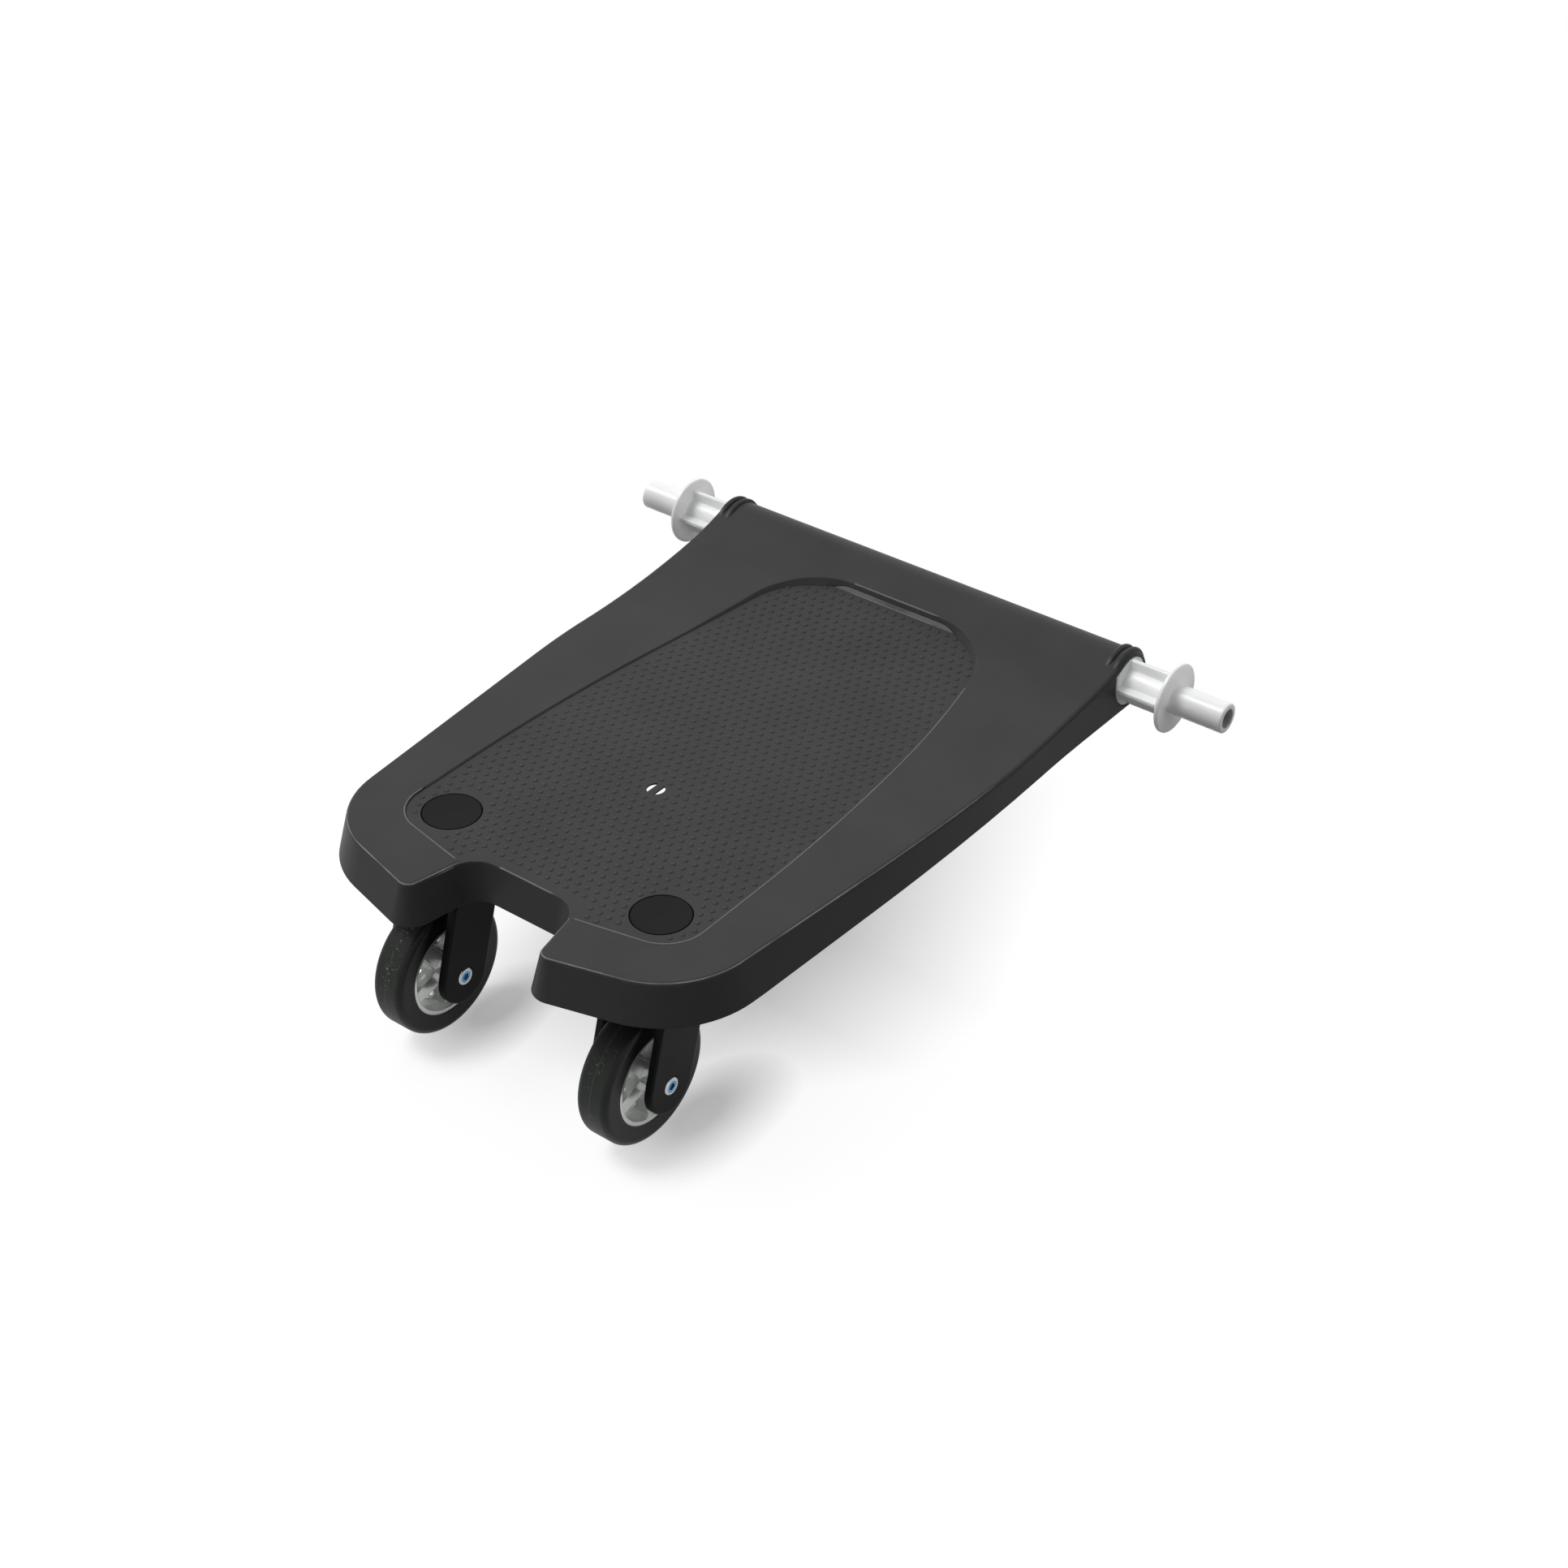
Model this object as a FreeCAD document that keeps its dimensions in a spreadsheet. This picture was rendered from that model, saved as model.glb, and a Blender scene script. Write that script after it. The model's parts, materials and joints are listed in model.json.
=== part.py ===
import FreeCAD, Part
import math
import os

from FreeCAD import Placement, Rotation, Vector

# Stand-on board for a pushchair: a moulded deck on two swivel casters, with two sprung pins at its front.
# Millimetres. +Z is up, +Y points forwards to the pins, +X to the board's right.
# The origin is on the floor, at the middle of the board's length and width.

SIZES = [
    # Whole board
    ("tread_height", "=2 * wheel_radius + hood_gap + hood_wall + crown_rise + face_gap"
     " + bush_flange + boss_foot", "top of the sunken tread above the floor"),
    ("caster_spacing", 146.1, "between the two swivel axes"),
    ("swivel_to_pin", 330.8, "from the swivel axes forwards to the pin axis"),
    ("pin_rise", 0.8, "pin axis above the tread"),
    ("overrun", 12.0, "how far a cut runs past what it cuts"),
    ("running_gap", 0.05, "radial clearance of a turning fit"),
    ("seat_gap", 0.02, "radial clearance of a fixed fit"),
    ("slide_gap", 0.4, "clearance all round a sliding piece"),
    ("part_gap", 0.3, "clearance between two pieces that do not touch"),
    ("face_gap", 0.1, "end clearance of a turning piece"),
    # Deck outline, measured from the swivel axes
    ("rim_step", 1.0, "deck border above the tread"),
    ("skin", 3.0, "deck skin under the tread"),
    ("wall", 3.0, "skirt wall"),
    ("edge_round", 2.2, "rounding of the deck's upper edge"),
    ("notch_half", 35.7, "half width of the rear notch at its inner edge"),
    ("notch_back", 20.9, "inner edge of the notch behind the swivel axes"),
    ("notch_round", 17.0, "inner corner radius of the notch"),
    ("prong_half", 44.5, "half width of the notch at its mouth"),
    ("prong_back", 64.2, "prong tips behind the swivel axes"),
    ("prong_round", 6.5, "corner radius of the prong tips"),
    ("rear_half", "=waist_half - rear_taper", "half width at the rear corners"),
    ("rear_taper", 19.0, "rear corners inside the waist"),
    ("rear_back", 42.4, "rear corners behind the swivel axes"),
    ("rear_round", 54.0, "rear corner radius"),
    ("waist_half", 145.4, "half width along the sides"),
    ("bulge_ahead", "=swivel_to_pin - bulge_run", "middle of the sides' curve ahead of the swivel axes"),
    ("flare_ahead", "=swivel_to_pin - flare_run", "start of the front flare"),
    ("front_half", "=waist_half + front_flare", "half width at the front end of the outline"),
    ("front_ahead", "=swivel_to_pin + front_run", "front end of the outline"),
    ("bulge_run", 164.8, "from the sides' curve forwards to the pin axis"),
    ("flare_run", 62.8, "from the flare's start forwards to the pin axis"),
    ("front_flare", 3.4, "flare on each side"),
    ("front_run", 31.2, "from the pin axis to the front end of the outline"),
    ("roll_half", "=waist_half + front_flare * flare_run / (flare_run + front_run)",
     "half width at the pin axis"),
    ("least_round", 0.5, "smallest corner radius of a drafted outline"),
    ("notch_draft", 4.0, "skirt foot outside the top edge, in the notch"),
    ("rear_draft", 6.6, "skirt foot outside the top edge, at the rear"),
    ("side_draft", 2.0, "skirt foot outside the top edge, at the sides"),
    ("front_draft", 0.8, "skirt foot outside the top edge, at the front"),
    ("rear_skirt", 24.0, "skirt foot below the deck border, at the rear"),
    ("skirt_turn", 5.0, "where the skirt foot starts to rise"),
    # Sweep of the deck up to the front roll
    ("sweep_start", "=swivel_to_pin - sweep_run", "start of the upward sweep"),
    ("sweep_run", 137.8, "from the sweep's start forwards to the pin axis"),
    ("blend_run", 44.0, "from the sweep's end forwards to the pin axis"),
    ("sweep_radius", 645.0, "radius of the deck's sweep"),
    ("tread_sweep_radius", 880.0, "radius of the tread's flatter sweep"),
    ("roll_radius", 17.6, "outside of the front roll about the pin axis"),
    ("bead_radius", 1.9, "section of the beads round the roll's ends"),
    ("bead_pitch", 5.2, "between the two beads"),
    ("bead_place", "=roll_half - bead_inset", "outer bead from the middle of the board"),
    ("bead_inset", 3.6, "outer bead inside the roll's end"),
    # Tread outline
    ("tread_half", 99.5, "half width of the tread"),
    ("tread_rear_back", 38.5, "middle of the tread's rear edge behind the swivel axes"),
    ("tread_corner_back", 18.5, "tread's rear corners behind the swivel axes"),
    ("tread_rear_round", 24.0, "tread's rear corner radius"),
    ("tread_turn_ahead", 150.0, "where the tread's sides start to close in"),
    ("tread_front_half", 72.0, "half width of the tread's front edge"),
    ("tread_front_ahead", "=swivel_to_pin - tread_front_run", "tread's front edge"),
    ("tread_front_run", 24.8, "from the tread's front edge forwards to the pin axis"),
    ("tread_front_round", 47.0, "tread's front corner radius"),
    ("tread_bevel_run", 3.4, "width of the bevel at the tread's front"),
    ("tread_bevel_rise", 3.2, "height of that bevel"),
    # Strap anchor
    ("anchor_ahead", 83.0, "strap anchor ahead of the swivel axes"),
    ("anchor_radius", 5.2, "strap anchor hole"),
    ("anchor_bar", 4.2, "width of the bar across it"),
    ("anchor_skin", 1.0, "deck skin left round the strap anchor"),
    ("anchor_land", 3.0, "width of the thinned ring round it"),
    # Ribs and bosses under the deck
    ("rib_wall", 2.2, "rib thickness"),
    ("rib_depth", 8.0, "ribs below the deck skin"),
    ("gusset_depth", 15.0, "gussets beside the caster bosses, below the deck skin"),
    ("gusset_reach", 34.0, "gussets out from the swivel axis"),
    ("boss_radius", 19.0, "outside of the caster boss"),
    ("boss_foot", 24.0, "foot of the caster boss below the tread"),
    ("boss_floor", 13.0, "floor of the caster boss's cup below the tread"),
    # Caster cap
    ("cap_radius", 16.5, "cap disc"),
    ("cap_disc", 2.0, "cap disc thickness"),
    ("cap_plug_radius", 14.4, "cap plug outside"),
    ("cap_plug_wall", 1.6, "cap plug wall"),
    ("cap_plug_depth", 5.0, "cap plug below the disc"),
    ("cap_dish", 0.5, "shallow dish in the cap's top"),
    ("cap_edge", 0.6, "bevel round the cap"),
    # Kingpin and its bushes
    ("kingpin_radius", 5.0, "kingpin shank"),
    ("thread_radius", 4.0, "kingpin threaded end"),
    ("kingpin_head_radius", 8.0, "kingpin head"),
    ("kingpin_head", 3.5, "kingpin head thickness"),
    ("kingpin_spare", 0.4, "thread past the nut"),
    ("bush_radius", 7.0, "swivel bush outside"),
    ("bush_flange", 1.5, "swivel bush flange thickness"),
    ("upper_flange_radius", 10.0, "upper bush flange"),
    ("lower_flange_radius", 13.0, "lower bush flange"),
    ("washer_radius", 9.0, "kingpin washer"),
    ("washer_thick", 1.2, "kingpin washer thickness"),
    ("kingpin_nut_flats", 13.0, "kingpin nut across flats"),
    ("kingpin_nut_thick", 6.5, "kingpin nut thickness"),
    # Fork
    ("trail", 21.0, "wheel axle behind the swivel axis"),
    ("leg_outside", 21.3, "outer face of a fork leg from the wheel's middle"),
    ("leg_wall", 4.6, "fork leg thickness"),
    ("leg_round", 16.5, "fork leg's rounded foot"),
    ("leg_top", "=2 * wheel_radius + hood_gap + hood_wall + leg_rise",
     "top of the fork legs above the floor"),
    ("leg_rise", 2.3, "legs above the hood"),
    ("leg_rear", 23.5, "rear top corner of a leg behind the swivel axis"),
    ("leg_front", 12.0, "front top corner of a leg ahead of the swivel axis"),
    ("leg_corner", 7.0, "rounding of the legs' top corners"),
    ("leg_edge", 1.2, "rounding of the legs' outer edges"),
    ("hood_gap", 3.2, "hood above the tyre"),
    ("hood_wall", 5.0, "hood thickness"),
    ("crown_radius", 15.0, "fork's swivel boss"),
    ("crown_rise", 16.0, "swivel boss above the hood"),
    ("crown_web", 3.0, "webs beside the swivel boss"),
    # Wheel
    ("wheel_radius", 40.0, "tyre outside"),
    ("tyre_width", 20.7, "tyre width"),
    ("tyre_shoulder", 4.0, "tyre shoulder rounding"),
    ("rim_radius", 28.0, "hub rim outside, under the tyre"),
    ("rim_width", 19.6, "hub rim width"),
    ("rim_wall", 2.4, "hub rim wall"),
    ("key_height", 1.6, "ridge that keys the tyre to the hub"),
    ("key_width", 8.0, "width of that ridge"),
    ("web_wall", 3.0, "hub web"),
    ("hub_boss_radius", 9.6, "hub boss"),
    ("hub_boss_half", 15.2, "half length of the hub boss"),
    ("spoke_width", 7.5, "hub spoke"),
    ("spoke_width_inner", 10.0, "hub spoke at the boss"),
    ("spoke_half", 7.6, "hub spoke, half of its depth"),
    ("spoke_count", 5, "hub spokes"),
    ("window_inner", 13.0, "hub windows from the axle"),
    ("window_outer", "=rim_radius - rim_wall - window_margin", "hub windows to"),
    ("window_margin", 3.1, "hub windows inside the rim"),
    ("window_round", 2.0, "corner radius of the hub windows"),
    ("wheel_bush_radius", 6.6, "wheel bush outside"),
    ("wheel_bush_length", 10.0, "wheel bush in the hub"),
    ("wheel_bush_flange", 1.2, "wheel bush flange thickness"),
    ("wheel_bush_flange_radius", 8.6, "wheel bush flange"),
    ("sleeve_radius", 4.6, "axle sleeve outside"),
    ("axle_radius", 3.0, "axle bolt shank"),
    ("axle_head_radius", 5.25, "axle bolt head"),
    ("axle_head", 2.7, "axle bolt head height"),
    ("axle_head_proud", 0.5, "axle bolt head proud of the fork"),
    ("axle_head_dome", 0.9, "rounding of the axle bolt head"),
    ("axle_socket_flats", 4.0, "hexagon socket across flats"),
    ("axle_socket_depth", 1.9, "hexagon socket depth"),
    ("axle_nut_flats", 10.0, "axle nut across flats"),
    ("axle_nut_thick", 4.6, "axle nut thickness"),
    ("axle_nut_sink", 2.2, "axle nut's pocket in the fork"),
    ("axle_spare", 0.8, "axle thread past the nut"),
    # Front channel and its cover
    ("channel_radius", 15.0, "channel about the pin axis"),
    ("channel_wall", 2.5, "rear wall of the channel"),
    ("mouth_wall_face", "=roll_half - mouth_wall", "inner face of the channel's end walls from the middle"),
    ("mouth_wall", 3.2, "end walls of the channel"),
    ("front_wall_foot", 3.0, "foot of the channel's walls below the pin axis"),
    ("centre_wall", 3.0, "wall between the two springs"),
    ("spigot_radius", 8.8, "spigots inside the springs' ends"),
    ("spigot_length", 8.0, "spigot length"),
    ("cover_wall", 2.2, "channel cover wall"),
    ("cover_flange", 13.0, "channel cover's screw flange"),
    ("stop_length", 5.0, "plunger stops on the cover"),
    ("stop_width", 5.0, "width of each stop"),
    ("stop_lateral", 6.6, "middle of each stop from the pin axis"),
    ("stop_top", 9.4, "top of the stops below the pin axis"),
    ("screw_count", 6, "cover screws"),
    ("screw_pitch", "=2 * (roll_half - screw_inset) / (screw_count - 1)", "between cover screws"),
    ("screw_inset", 27.7, "outer screws inside the roll's ends"),
    ("screw_radius", 1.6, "cover screw shank"),
    ("screw_length", 9.0, "cover screw under its head"),
    ("screw_head_radius", 3.2, "cover screw head"),
    ("screw_head", 1.9, "cover screw head height"),
    ("screw_boss_radius", 4.2, "screw bosses under the deck"),
    # Pin plungers
    ("pin_radius", 9.0, "pin that goes into the pushchair"),
    ("pin_tip", "=finger_flange_face + pin_length", "pin tip from the middle of the board"),
    ("pin_length", 33.6, "pin past the finger flange"),
    ("pin_chamfer", 1.0, "bevel at the pin tip"),
    ("pin_bore", 5.8, "bore in the pin's end"),
    ("pin_bore_depth", 26.0, "depth of that bore"),
    ("finger_flange_radius", 20.9, "finger flange"),
    ("finger_flange", 2.3, "finger flange thickness"),
    ("finger_flange_face", "=mouth_plate_face + flange_out",
     "outer face of the finger flange from the middle"),
    ("flange_out", 30.2, "finger flange outside the mouth plate"),
    ("mouth_plate_face", "=roll_half + mouth_proud", "outer face of the mouth plate from the middle"),
    ("mouth_proud", 0.1, "mouth plate proud of the roll's end"),
    ("guide_plate", 2.6, "thickness of the plunger's guide plates"),
    ("tail_plate_face", "=mouth_plate_face - slide_length", "inner face of the tail plate from the middle"),
    ("slide_length", 55.7, "from the mouth plate's face to the tail plate's"),
    ("core_radius", 8.6, "plunger core"),
    ("fin_wall", 2.6, "plunger fins"),
    ("plunger_travel", 26.0, "how far a plunger slides in"),
    # Plunger springs
    ("spring_wire", 1.8, "spring wire"),
    ("spring_mean_radius", 10.6, "spring at the middle of its wire"),
    ("spring_turns", 12, "spring turns"),
]

# Shares: of a length that is left over, or of an angle
SIDE_SWEEP_SHARE = 0.75
FLARE_SWEEP_SHARE = 0.8
TREAD_SWEEP_SHARE = 0.9
RIB_ROW_SHARES = (-0.10, 0.06, 0.30, 0.46, 0.62, 0.78)
RIB_COLUMN_SHARES = (0.22, 0.5, 0.78)
CHANNEL_SLOPE = math.radians(25)
ROLL_TUCK = math.radians(20)
FULL_TURN = 2 * math.pi
TOUCHING = 1e-6
SIDES = (("left", -1), ("right", 1))

doc = FreeCAD.newDocument("buggy_board")
sheet = doc.addObject("Spreadsheet::Sheet", "dims")
for row, (alias, value, note) in enumerate(SIZES, start=1):
    sheet.set("A%d" % row, alias)
    sheet.set("C%d" % row, note)
    sheet.setAlias("B%d" % row, alias)
for row, (alias, value, note) in enumerate(SIZES, start=1):
    sheet.set("B%d" % row, str(value))
doc.recompute()


class Sizes:
    """The sheet's cells by their aliases."""

    def __getattr__(self, alias):
        return float(sheet.get(alias))


v = Sizes()
subparts = []


def bind(thing, **expressions):
    """Tie properties of an object to the sheet; a double underscore stands for a dot."""
    for prop, expression in expressions.items():
        thing.setExpression(prop.replace("__", "."), expression)
    return thing


def keep(thing, label):
    """Hand an object in as a sub-part of its own."""
    thing.Label = label
    subparts.append(thing)
    return thing


def place(thing, x="0", y="0", z="0"):
    return bind(thing, Placement__Base__x=x, Placement__Base__y=y, Placement__Base__z=z)


# Outlines: polygons whose corners are rounded by tangent arcs

def unit(a, b):
    return (b - a).normalize()


def rounded(corners):
    """Edges of a closed polygon. A corner is (x, y, radius, share); with a share, the arc takes that
    share of the straight that is left beside it."""
    points = [Vector(c[0], c[1], 0) for c in corners]
    count = len(points)
    lengths = [(points[(i + 1) % count] - points[i]).Length for i in range(count)]
    half_turns = []
    for i in range(count):
        before = unit(points[i - 1], points[i])
        after = unit(points[i], points[(i + 1) % count])
        half_turns.append(before.getAngle(after) / 2)
    cuts = [c[2] * math.tan(h) for c, h in zip(corners, half_turns)]
    for i, corner in enumerate(corners):
        if corner[3]:
            spare = min(lengths[i - 1] - cuts[i - 1], lengths[i] - cuts[(i + 1) % count])
            cuts[i] = corner[3] * spare
    edges = []
    starts = [p + unit(p, points[i - 1]) * cuts[i] for i, p in enumerate(points)]
    ends = [p + unit(p, points[(i + 1) % count]) * cuts[i] for i, p in enumerate(points)]
    for i in range(count):
        if cuts[i]:
            radius = cuts[i] / math.tan(half_turns[i])
            inward = (unit(points[i], points[i - 1]) + unit(points[i], points[(i + 1) % count])).normalize()
            middle = points[i] + inward * (radius / math.cos(half_turns[i]) - radius)
            edges.append(Part.Arc(starts[i], middle, ends[i]))
        following = starts[(i + 1) % count]
        if not ends[i].isEqual(following, TOUCHING):
            edges.append(Part.LineSegment(ends[i], following))
    return edges


def offset_corners(corners, distances):
    """Move each corner of a polygon outwards along its mitre; rounded corners keep their centres."""
    count = len(corners)
    points = [Vector(c[0], c[1], 0) for c in corners]
    moved = []
    for i in range(count):
        before = unit(points[i - 1], points[i])
        after = unit(points[i], points[(i + 1) % count])
        mitre = Vector(before.y + after.y, -before.x - after.x, 0) / (1 + before.dot(after))
        corner = points[i] + mitre * distances[i]
        grow = distances[i] if before.cross(after).z > 0 else -distances[i]
        radius = max(corners[i][2] + grow, v.least_round) if corners[i][2] else 0
        moved.append((corner.x, corner.y, radius, corners[i][3]))
    return moved


def mirrored(half):
    """A whole outline from its right half, which runs from the rear to the front."""
    return half + [(-c[0],) + tuple(c[1:]) for c in reversed(half)]


PLAN = Rotation()
SIDE_ON = Rotation(Vector(0, 1, 0), Vector(0, 0, 1), Vector(1, 0, 0), "XYZ")


def outline_sketch(name, edges, rotation=PLAN):
    """A free sketch: plan outlines lie flat, side outlines stand in the Y and Z directions."""
    sketch = doc.addObject("Sketcher::SketchObject", name)
    for edge in edges:
        sketch.addGeometry(edge, False)
    sketch.Placement = Placement(Vector(0, 0, 0), rotation)
    return sketch


def extrusion(name, sketch, length, symmetric=True):
    """Extrude a sketch square to its plane, by an expression."""
    solid = doc.addObject("Part::Extrusion", name)
    solid.Base = sketch
    solid.DirMode = "Normal"
    solid.Solid = True
    solid.Symmetric = symmetric
    return bind(solid, LengthFwd=length)


def boolean(kind, name, base, tool):
    result = doc.addObject("Part::" + kind, name)
    result.Base = base
    result.Tool = tool
    return result


def fuse(name, shapes):
    result = doc.addObject("Part::MultiFuse", name)
    result.Shapes = shapes
    return result


def box(name, length, width, height, x, y, z):
    """A box by expressions, placed by its lower corner."""
    solid = bind(doc.addObject("Part::Box", name), Length=length, Width=width, Height=height)
    return place(solid, x, y, z)


def rod(name, radius, height, x="0", y="0", z="0"):
    """An upright cylinder by expressions, placed by the middle of its foot."""
    solid = bind(doc.addObject("Part::Cylinder", name), Radius=radius, Height=height)
    return place(solid, x, y, z)


# Places along the board, from the swivel axes

def deck_half_corners():
    return [
        (v.notch_half, -v.notch_back, v.notch_round, 0),
        (v.prong_half, -v.prong_back, v.prong_round, 0),
        (v.rear_half, -v.rear_back, v.rear_round, 0),
        (v.waist_half, v.bulge_ahead, 0, SIDE_SWEEP_SHARE),
        (v.waist_half, v.flare_ahead, 0, FLARE_SWEEP_SHARE),
        (v.front_half, v.front_ahead, 0, 0),
    ]


def deck_corners(grow):
    """Deck outline moved out by a share of the skirt's draft."""
    corners = mirrored(deck_half_corners())
    side = [v.notch_draft, v.rear_draft, v.rear_draft, v.side_draft, v.front_draft, v.front_draft]
    drafts = side + side[::-1]
    return offset_corners(corners, [grow(draft) for draft in drafts])


foot_wire = Part.Wire([edge.toShape() for edge in rounded(deck_corners(lambda draft: draft))])
board_front = v.swivel_to_pin + v.finger_flange_radius
board_rear = foot_wire.optimalBoundingBox(False, False).YMin
sheet.set("A%d" % (len(SIZES) + 1), "swivel_y")
sheet.set("B%d" % (len(SIZES) + 1), str(-(board_front + board_rear) / 2))
sheet.set("C%d" % (len(SIZES) + 1), "swivel axes from the middle of the board's length")
sheet.setAlias("B%d" % (len(SIZES) + 1), "swivel_y")
doc.recompute()

SWIVEL_Y = "dims.swivel_y"
PIN_Y = "(dims.swivel_y + dims.swivel_to_pin)"
PIN_Z = "(dims.tread_height + dims.pin_rise)"
TREAD_Z = "dims.tread_height"


# Deck

def turned_arc(centre, start, end, radius):
    """Arc of a circle between two points on it, the short way round."""
    middle = centre + ((start - centre) + (end - centre)).normalize() * radius
    return Part.Arc(start, middle, end)


def tangent_touch(centre, radius, point, turn):
    """Where the tangent from a point touches a circle; turn is 1 for the left side seen from the point, else -1."""
    to_point = point - centre
    angle = math.atan2(to_point.y, to_point.x) + turn * math.acos(radius / to_point.Length)
    return centre + Vector(math.cos(angle), math.sin(angle), 0) * radius


def deck_side_edges():
    """Deck seen from its side, from the swivel axes and the tread: border, sweep, roll and an overlong skirt."""
    border = v.rim_step
    rear = -(v.prong_back + v.overrun)
    rear_foot = border - v.rear_skirt - v.overrun
    pin = Vector(v.swivel_to_pin, v.pin_rise, 0)
    sweep_centre = Vector(v.sweep_start, border + v.sweep_radius, 0)
    sweep_from = Vector(v.sweep_start, border, 0)
    sweep_end = v.swivel_to_pin - v.blend_run
    sweep_drop = math.sqrt(v.sweep_radius ** 2 - (sweep_end - v.sweep_start) ** 2)
    sweep_to = Vector(sweep_end, sweep_centre.y - sweep_drop, 0)
    square = unit(sweep_to, sweep_centre)
    reach = sweep_to - pin
    blend_radius = (reach.Length ** 2 - v.roll_radius ** 2) / (2 * (v.roll_radius - reach.dot(square)))
    blend = sweep_to + square * blend_radius
    roll_from = pin + (blend - pin) * (v.roll_radius / (v.roll_radius + blend_radius))
    roll_front = pin + Vector(v.roll_radius, 0, 0)
    rear_bottom = Vector(rear, rear_foot, 0)
    roll_foot = tangent_touch(pin, v.roll_radius, rear_bottom, 1)
    rear_top = Vector(rear, border, 0)
    return [
        Part.LineSegment(rear_bottom, rear_top),
        Part.LineSegment(rear_top, sweep_from),
        turned_arc(sweep_centre, sweep_from, sweep_to, v.sweep_radius),
        turned_arc(blend, sweep_to, roll_from, abs(blend_radius)),
        turned_arc(pin, roll_from, roll_front, v.roll_radius),
        turned_arc(pin, roll_front, roll_foot, v.roll_radius),
        Part.LineSegment(roll_foot, rear_bottom),
    ]


def below_foot_edges():
    """Region under the skirt foot, which is level at the rear and rises straight to the roll."""
    rear = -(v.prong_back + 2 * v.overrun)
    foot = v.rim_step - v.rear_skirt
    low = foot - 2 * v.overrun
    pin = Vector(v.swivel_to_pin, v.pin_rise, 0)
    rise_top = pin - Vector(math.sin(ROLL_TUCK), math.cos(ROLL_TUCK), 0) * v.roll_radius
    corners = [Vector(rear, low, 0), Vector(rear, foot, 0), Vector(v.skirt_turn, foot, 0), rise_top,
               Vector(rise_top.x, low, 0)]
    return [Part.LineSegment(a, b) for a, b in zip(corners, corners[1:] + corners[:1])]


def under_skin_edges(height, drop):
    """Region under a surface that lies parallel to the tread, down to below the skirt."""
    rear = -(v.prong_back + v.overrun)
    front = v.swivel_to_pin - v.channel_radius - v.channel_wall
    low = v.rim_step - v.rear_skirt - v.overrun
    centre = Vector(v.sweep_start, v.tread_sweep_radius, 0)
    radius = v.tread_sweep_radius + drop
    sweep_from = Vector(v.sweep_start, -drop, 0)
    sweep_to = Vector(front, centre.y - math.sqrt(radius ** 2 - (front - centre.x) ** 2), 0)
    corners = [Vector(front, low, 0), Vector(rear, low, 0), Vector(rear, -drop, 0)]
    return [
        turned_arc(centre, sweep_from, sweep_to, radius),
        Part.LineSegment(sweep_to, corners[0]),
        Part.LineSegment(corners[0], corners[1]),
        Part.LineSegment(corners[1], corners[2]),
        Part.LineSegment(corners[2], sweep_from),
    ]


def tread_side_edges():
    """Region above the tread, which ends at a bevel in front."""
    rear = -(v.prong_back + v.overrun)
    high = v.pin_rise + v.roll_radius + v.overrun
    centre = Vector(v.sweep_start, v.tread_sweep_radius, 0)
    bevel_y = v.tread_front_ahead - v.tread_bevel_run
    bevel_z = centre.y - math.sqrt(v.tread_sweep_radius ** 2 - (bevel_y - centre.x) ** 2)
    sweep_from = Vector(v.sweep_start, 0, 0)
    sweep_to = Vector(bevel_y, bevel_z, 0)
    bevel_share = (high - bevel_z) / v.tread_bevel_rise
    bevel_top = sweep_to + Vector(v.tread_bevel_run, v.tread_bevel_rise, 0) * bevel_share
    rear_top = Vector(rear, high, 0)
    rear_foot = Vector(rear, 0, 0)
    return [
        Part.LineSegment(rear_foot, sweep_from),
        turned_arc(centre, sweep_from, sweep_to, v.tread_sweep_radius),
        Part.LineSegment(sweep_to, bevel_top),
        Part.LineSegment(bevel_top, rear_top),
        Part.LineSegment(rear_top, rear_foot),
    ]


def channel_edges(radius):
    """Section of the front channel about the pin axis: round, with a square rear that slopes under the deck."""
    corner = radius * (1 / math.cos(CHANNEL_SLOPE) - math.tan(CHANNEL_SLOPE))
    touch_angle = math.pi / 2 + CHANNEL_SLOPE
    touch = Vector(radius * math.cos(touch_angle), radius * math.sin(touch_angle), 0)
    middle_angle = (touch_angle - math.pi) / 2
    middle = Vector(radius * math.cos(middle_angle), radius * math.sin(middle_angle), 0)
    rear = Vector(-radius, 0, 0)
    rear_top = Vector(-radius, corner, 0)
    return [Part.LineSegment(rear, rear_top), Part.LineSegment(rear_top, touch),
            Part.Arc(touch, middle, rear)]


def tread_corners():
    half = [
        (0, -v.tread_rear_back, 0, 0),
        (v.tread_half, -v.tread_corner_back, v.tread_rear_round, 0),
        (v.tread_half, v.tread_turn_ahead, 0, TREAD_SWEEP_SHARE),
        (v.tread_front_half, v.tread_front_ahead, v.tread_front_round, 0),
    ]
    return half + [(-c[0],) + tuple(c[1:]) for c in reversed(half[1:])]


def loft(name, lower, upper):
    solid = doc.addObject("Part::Loft", name)
    solid.Sections = [lower, upper]
    solid.Solid = True
    solid.Ruled = True
    return solid


def deck_block(name, inset, below):
    """Drafted block between the skirt foot, or below it, and the top of the roll."""
    lift = v.pin_rise + v.roll_radius + v.bead_radius - v.rim_step
    depth = v.rear_skirt + below
    levels = (("foot", -depth), ("crown", lift))
    sections = []
    for level, height in levels:
        corners = deck_corners(lambda draft: -draft * height / v.rear_skirt - inset)
        sketch = outline_sketch(name + "_" + level, rounded(corners))
        sketch.Placement.Base.z = v.tread_height + v.rim_step + height
        sketch.Placement.Base.y = v.swivel_y
        sections.append(sketch)
    return loft(name, *sections)


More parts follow.
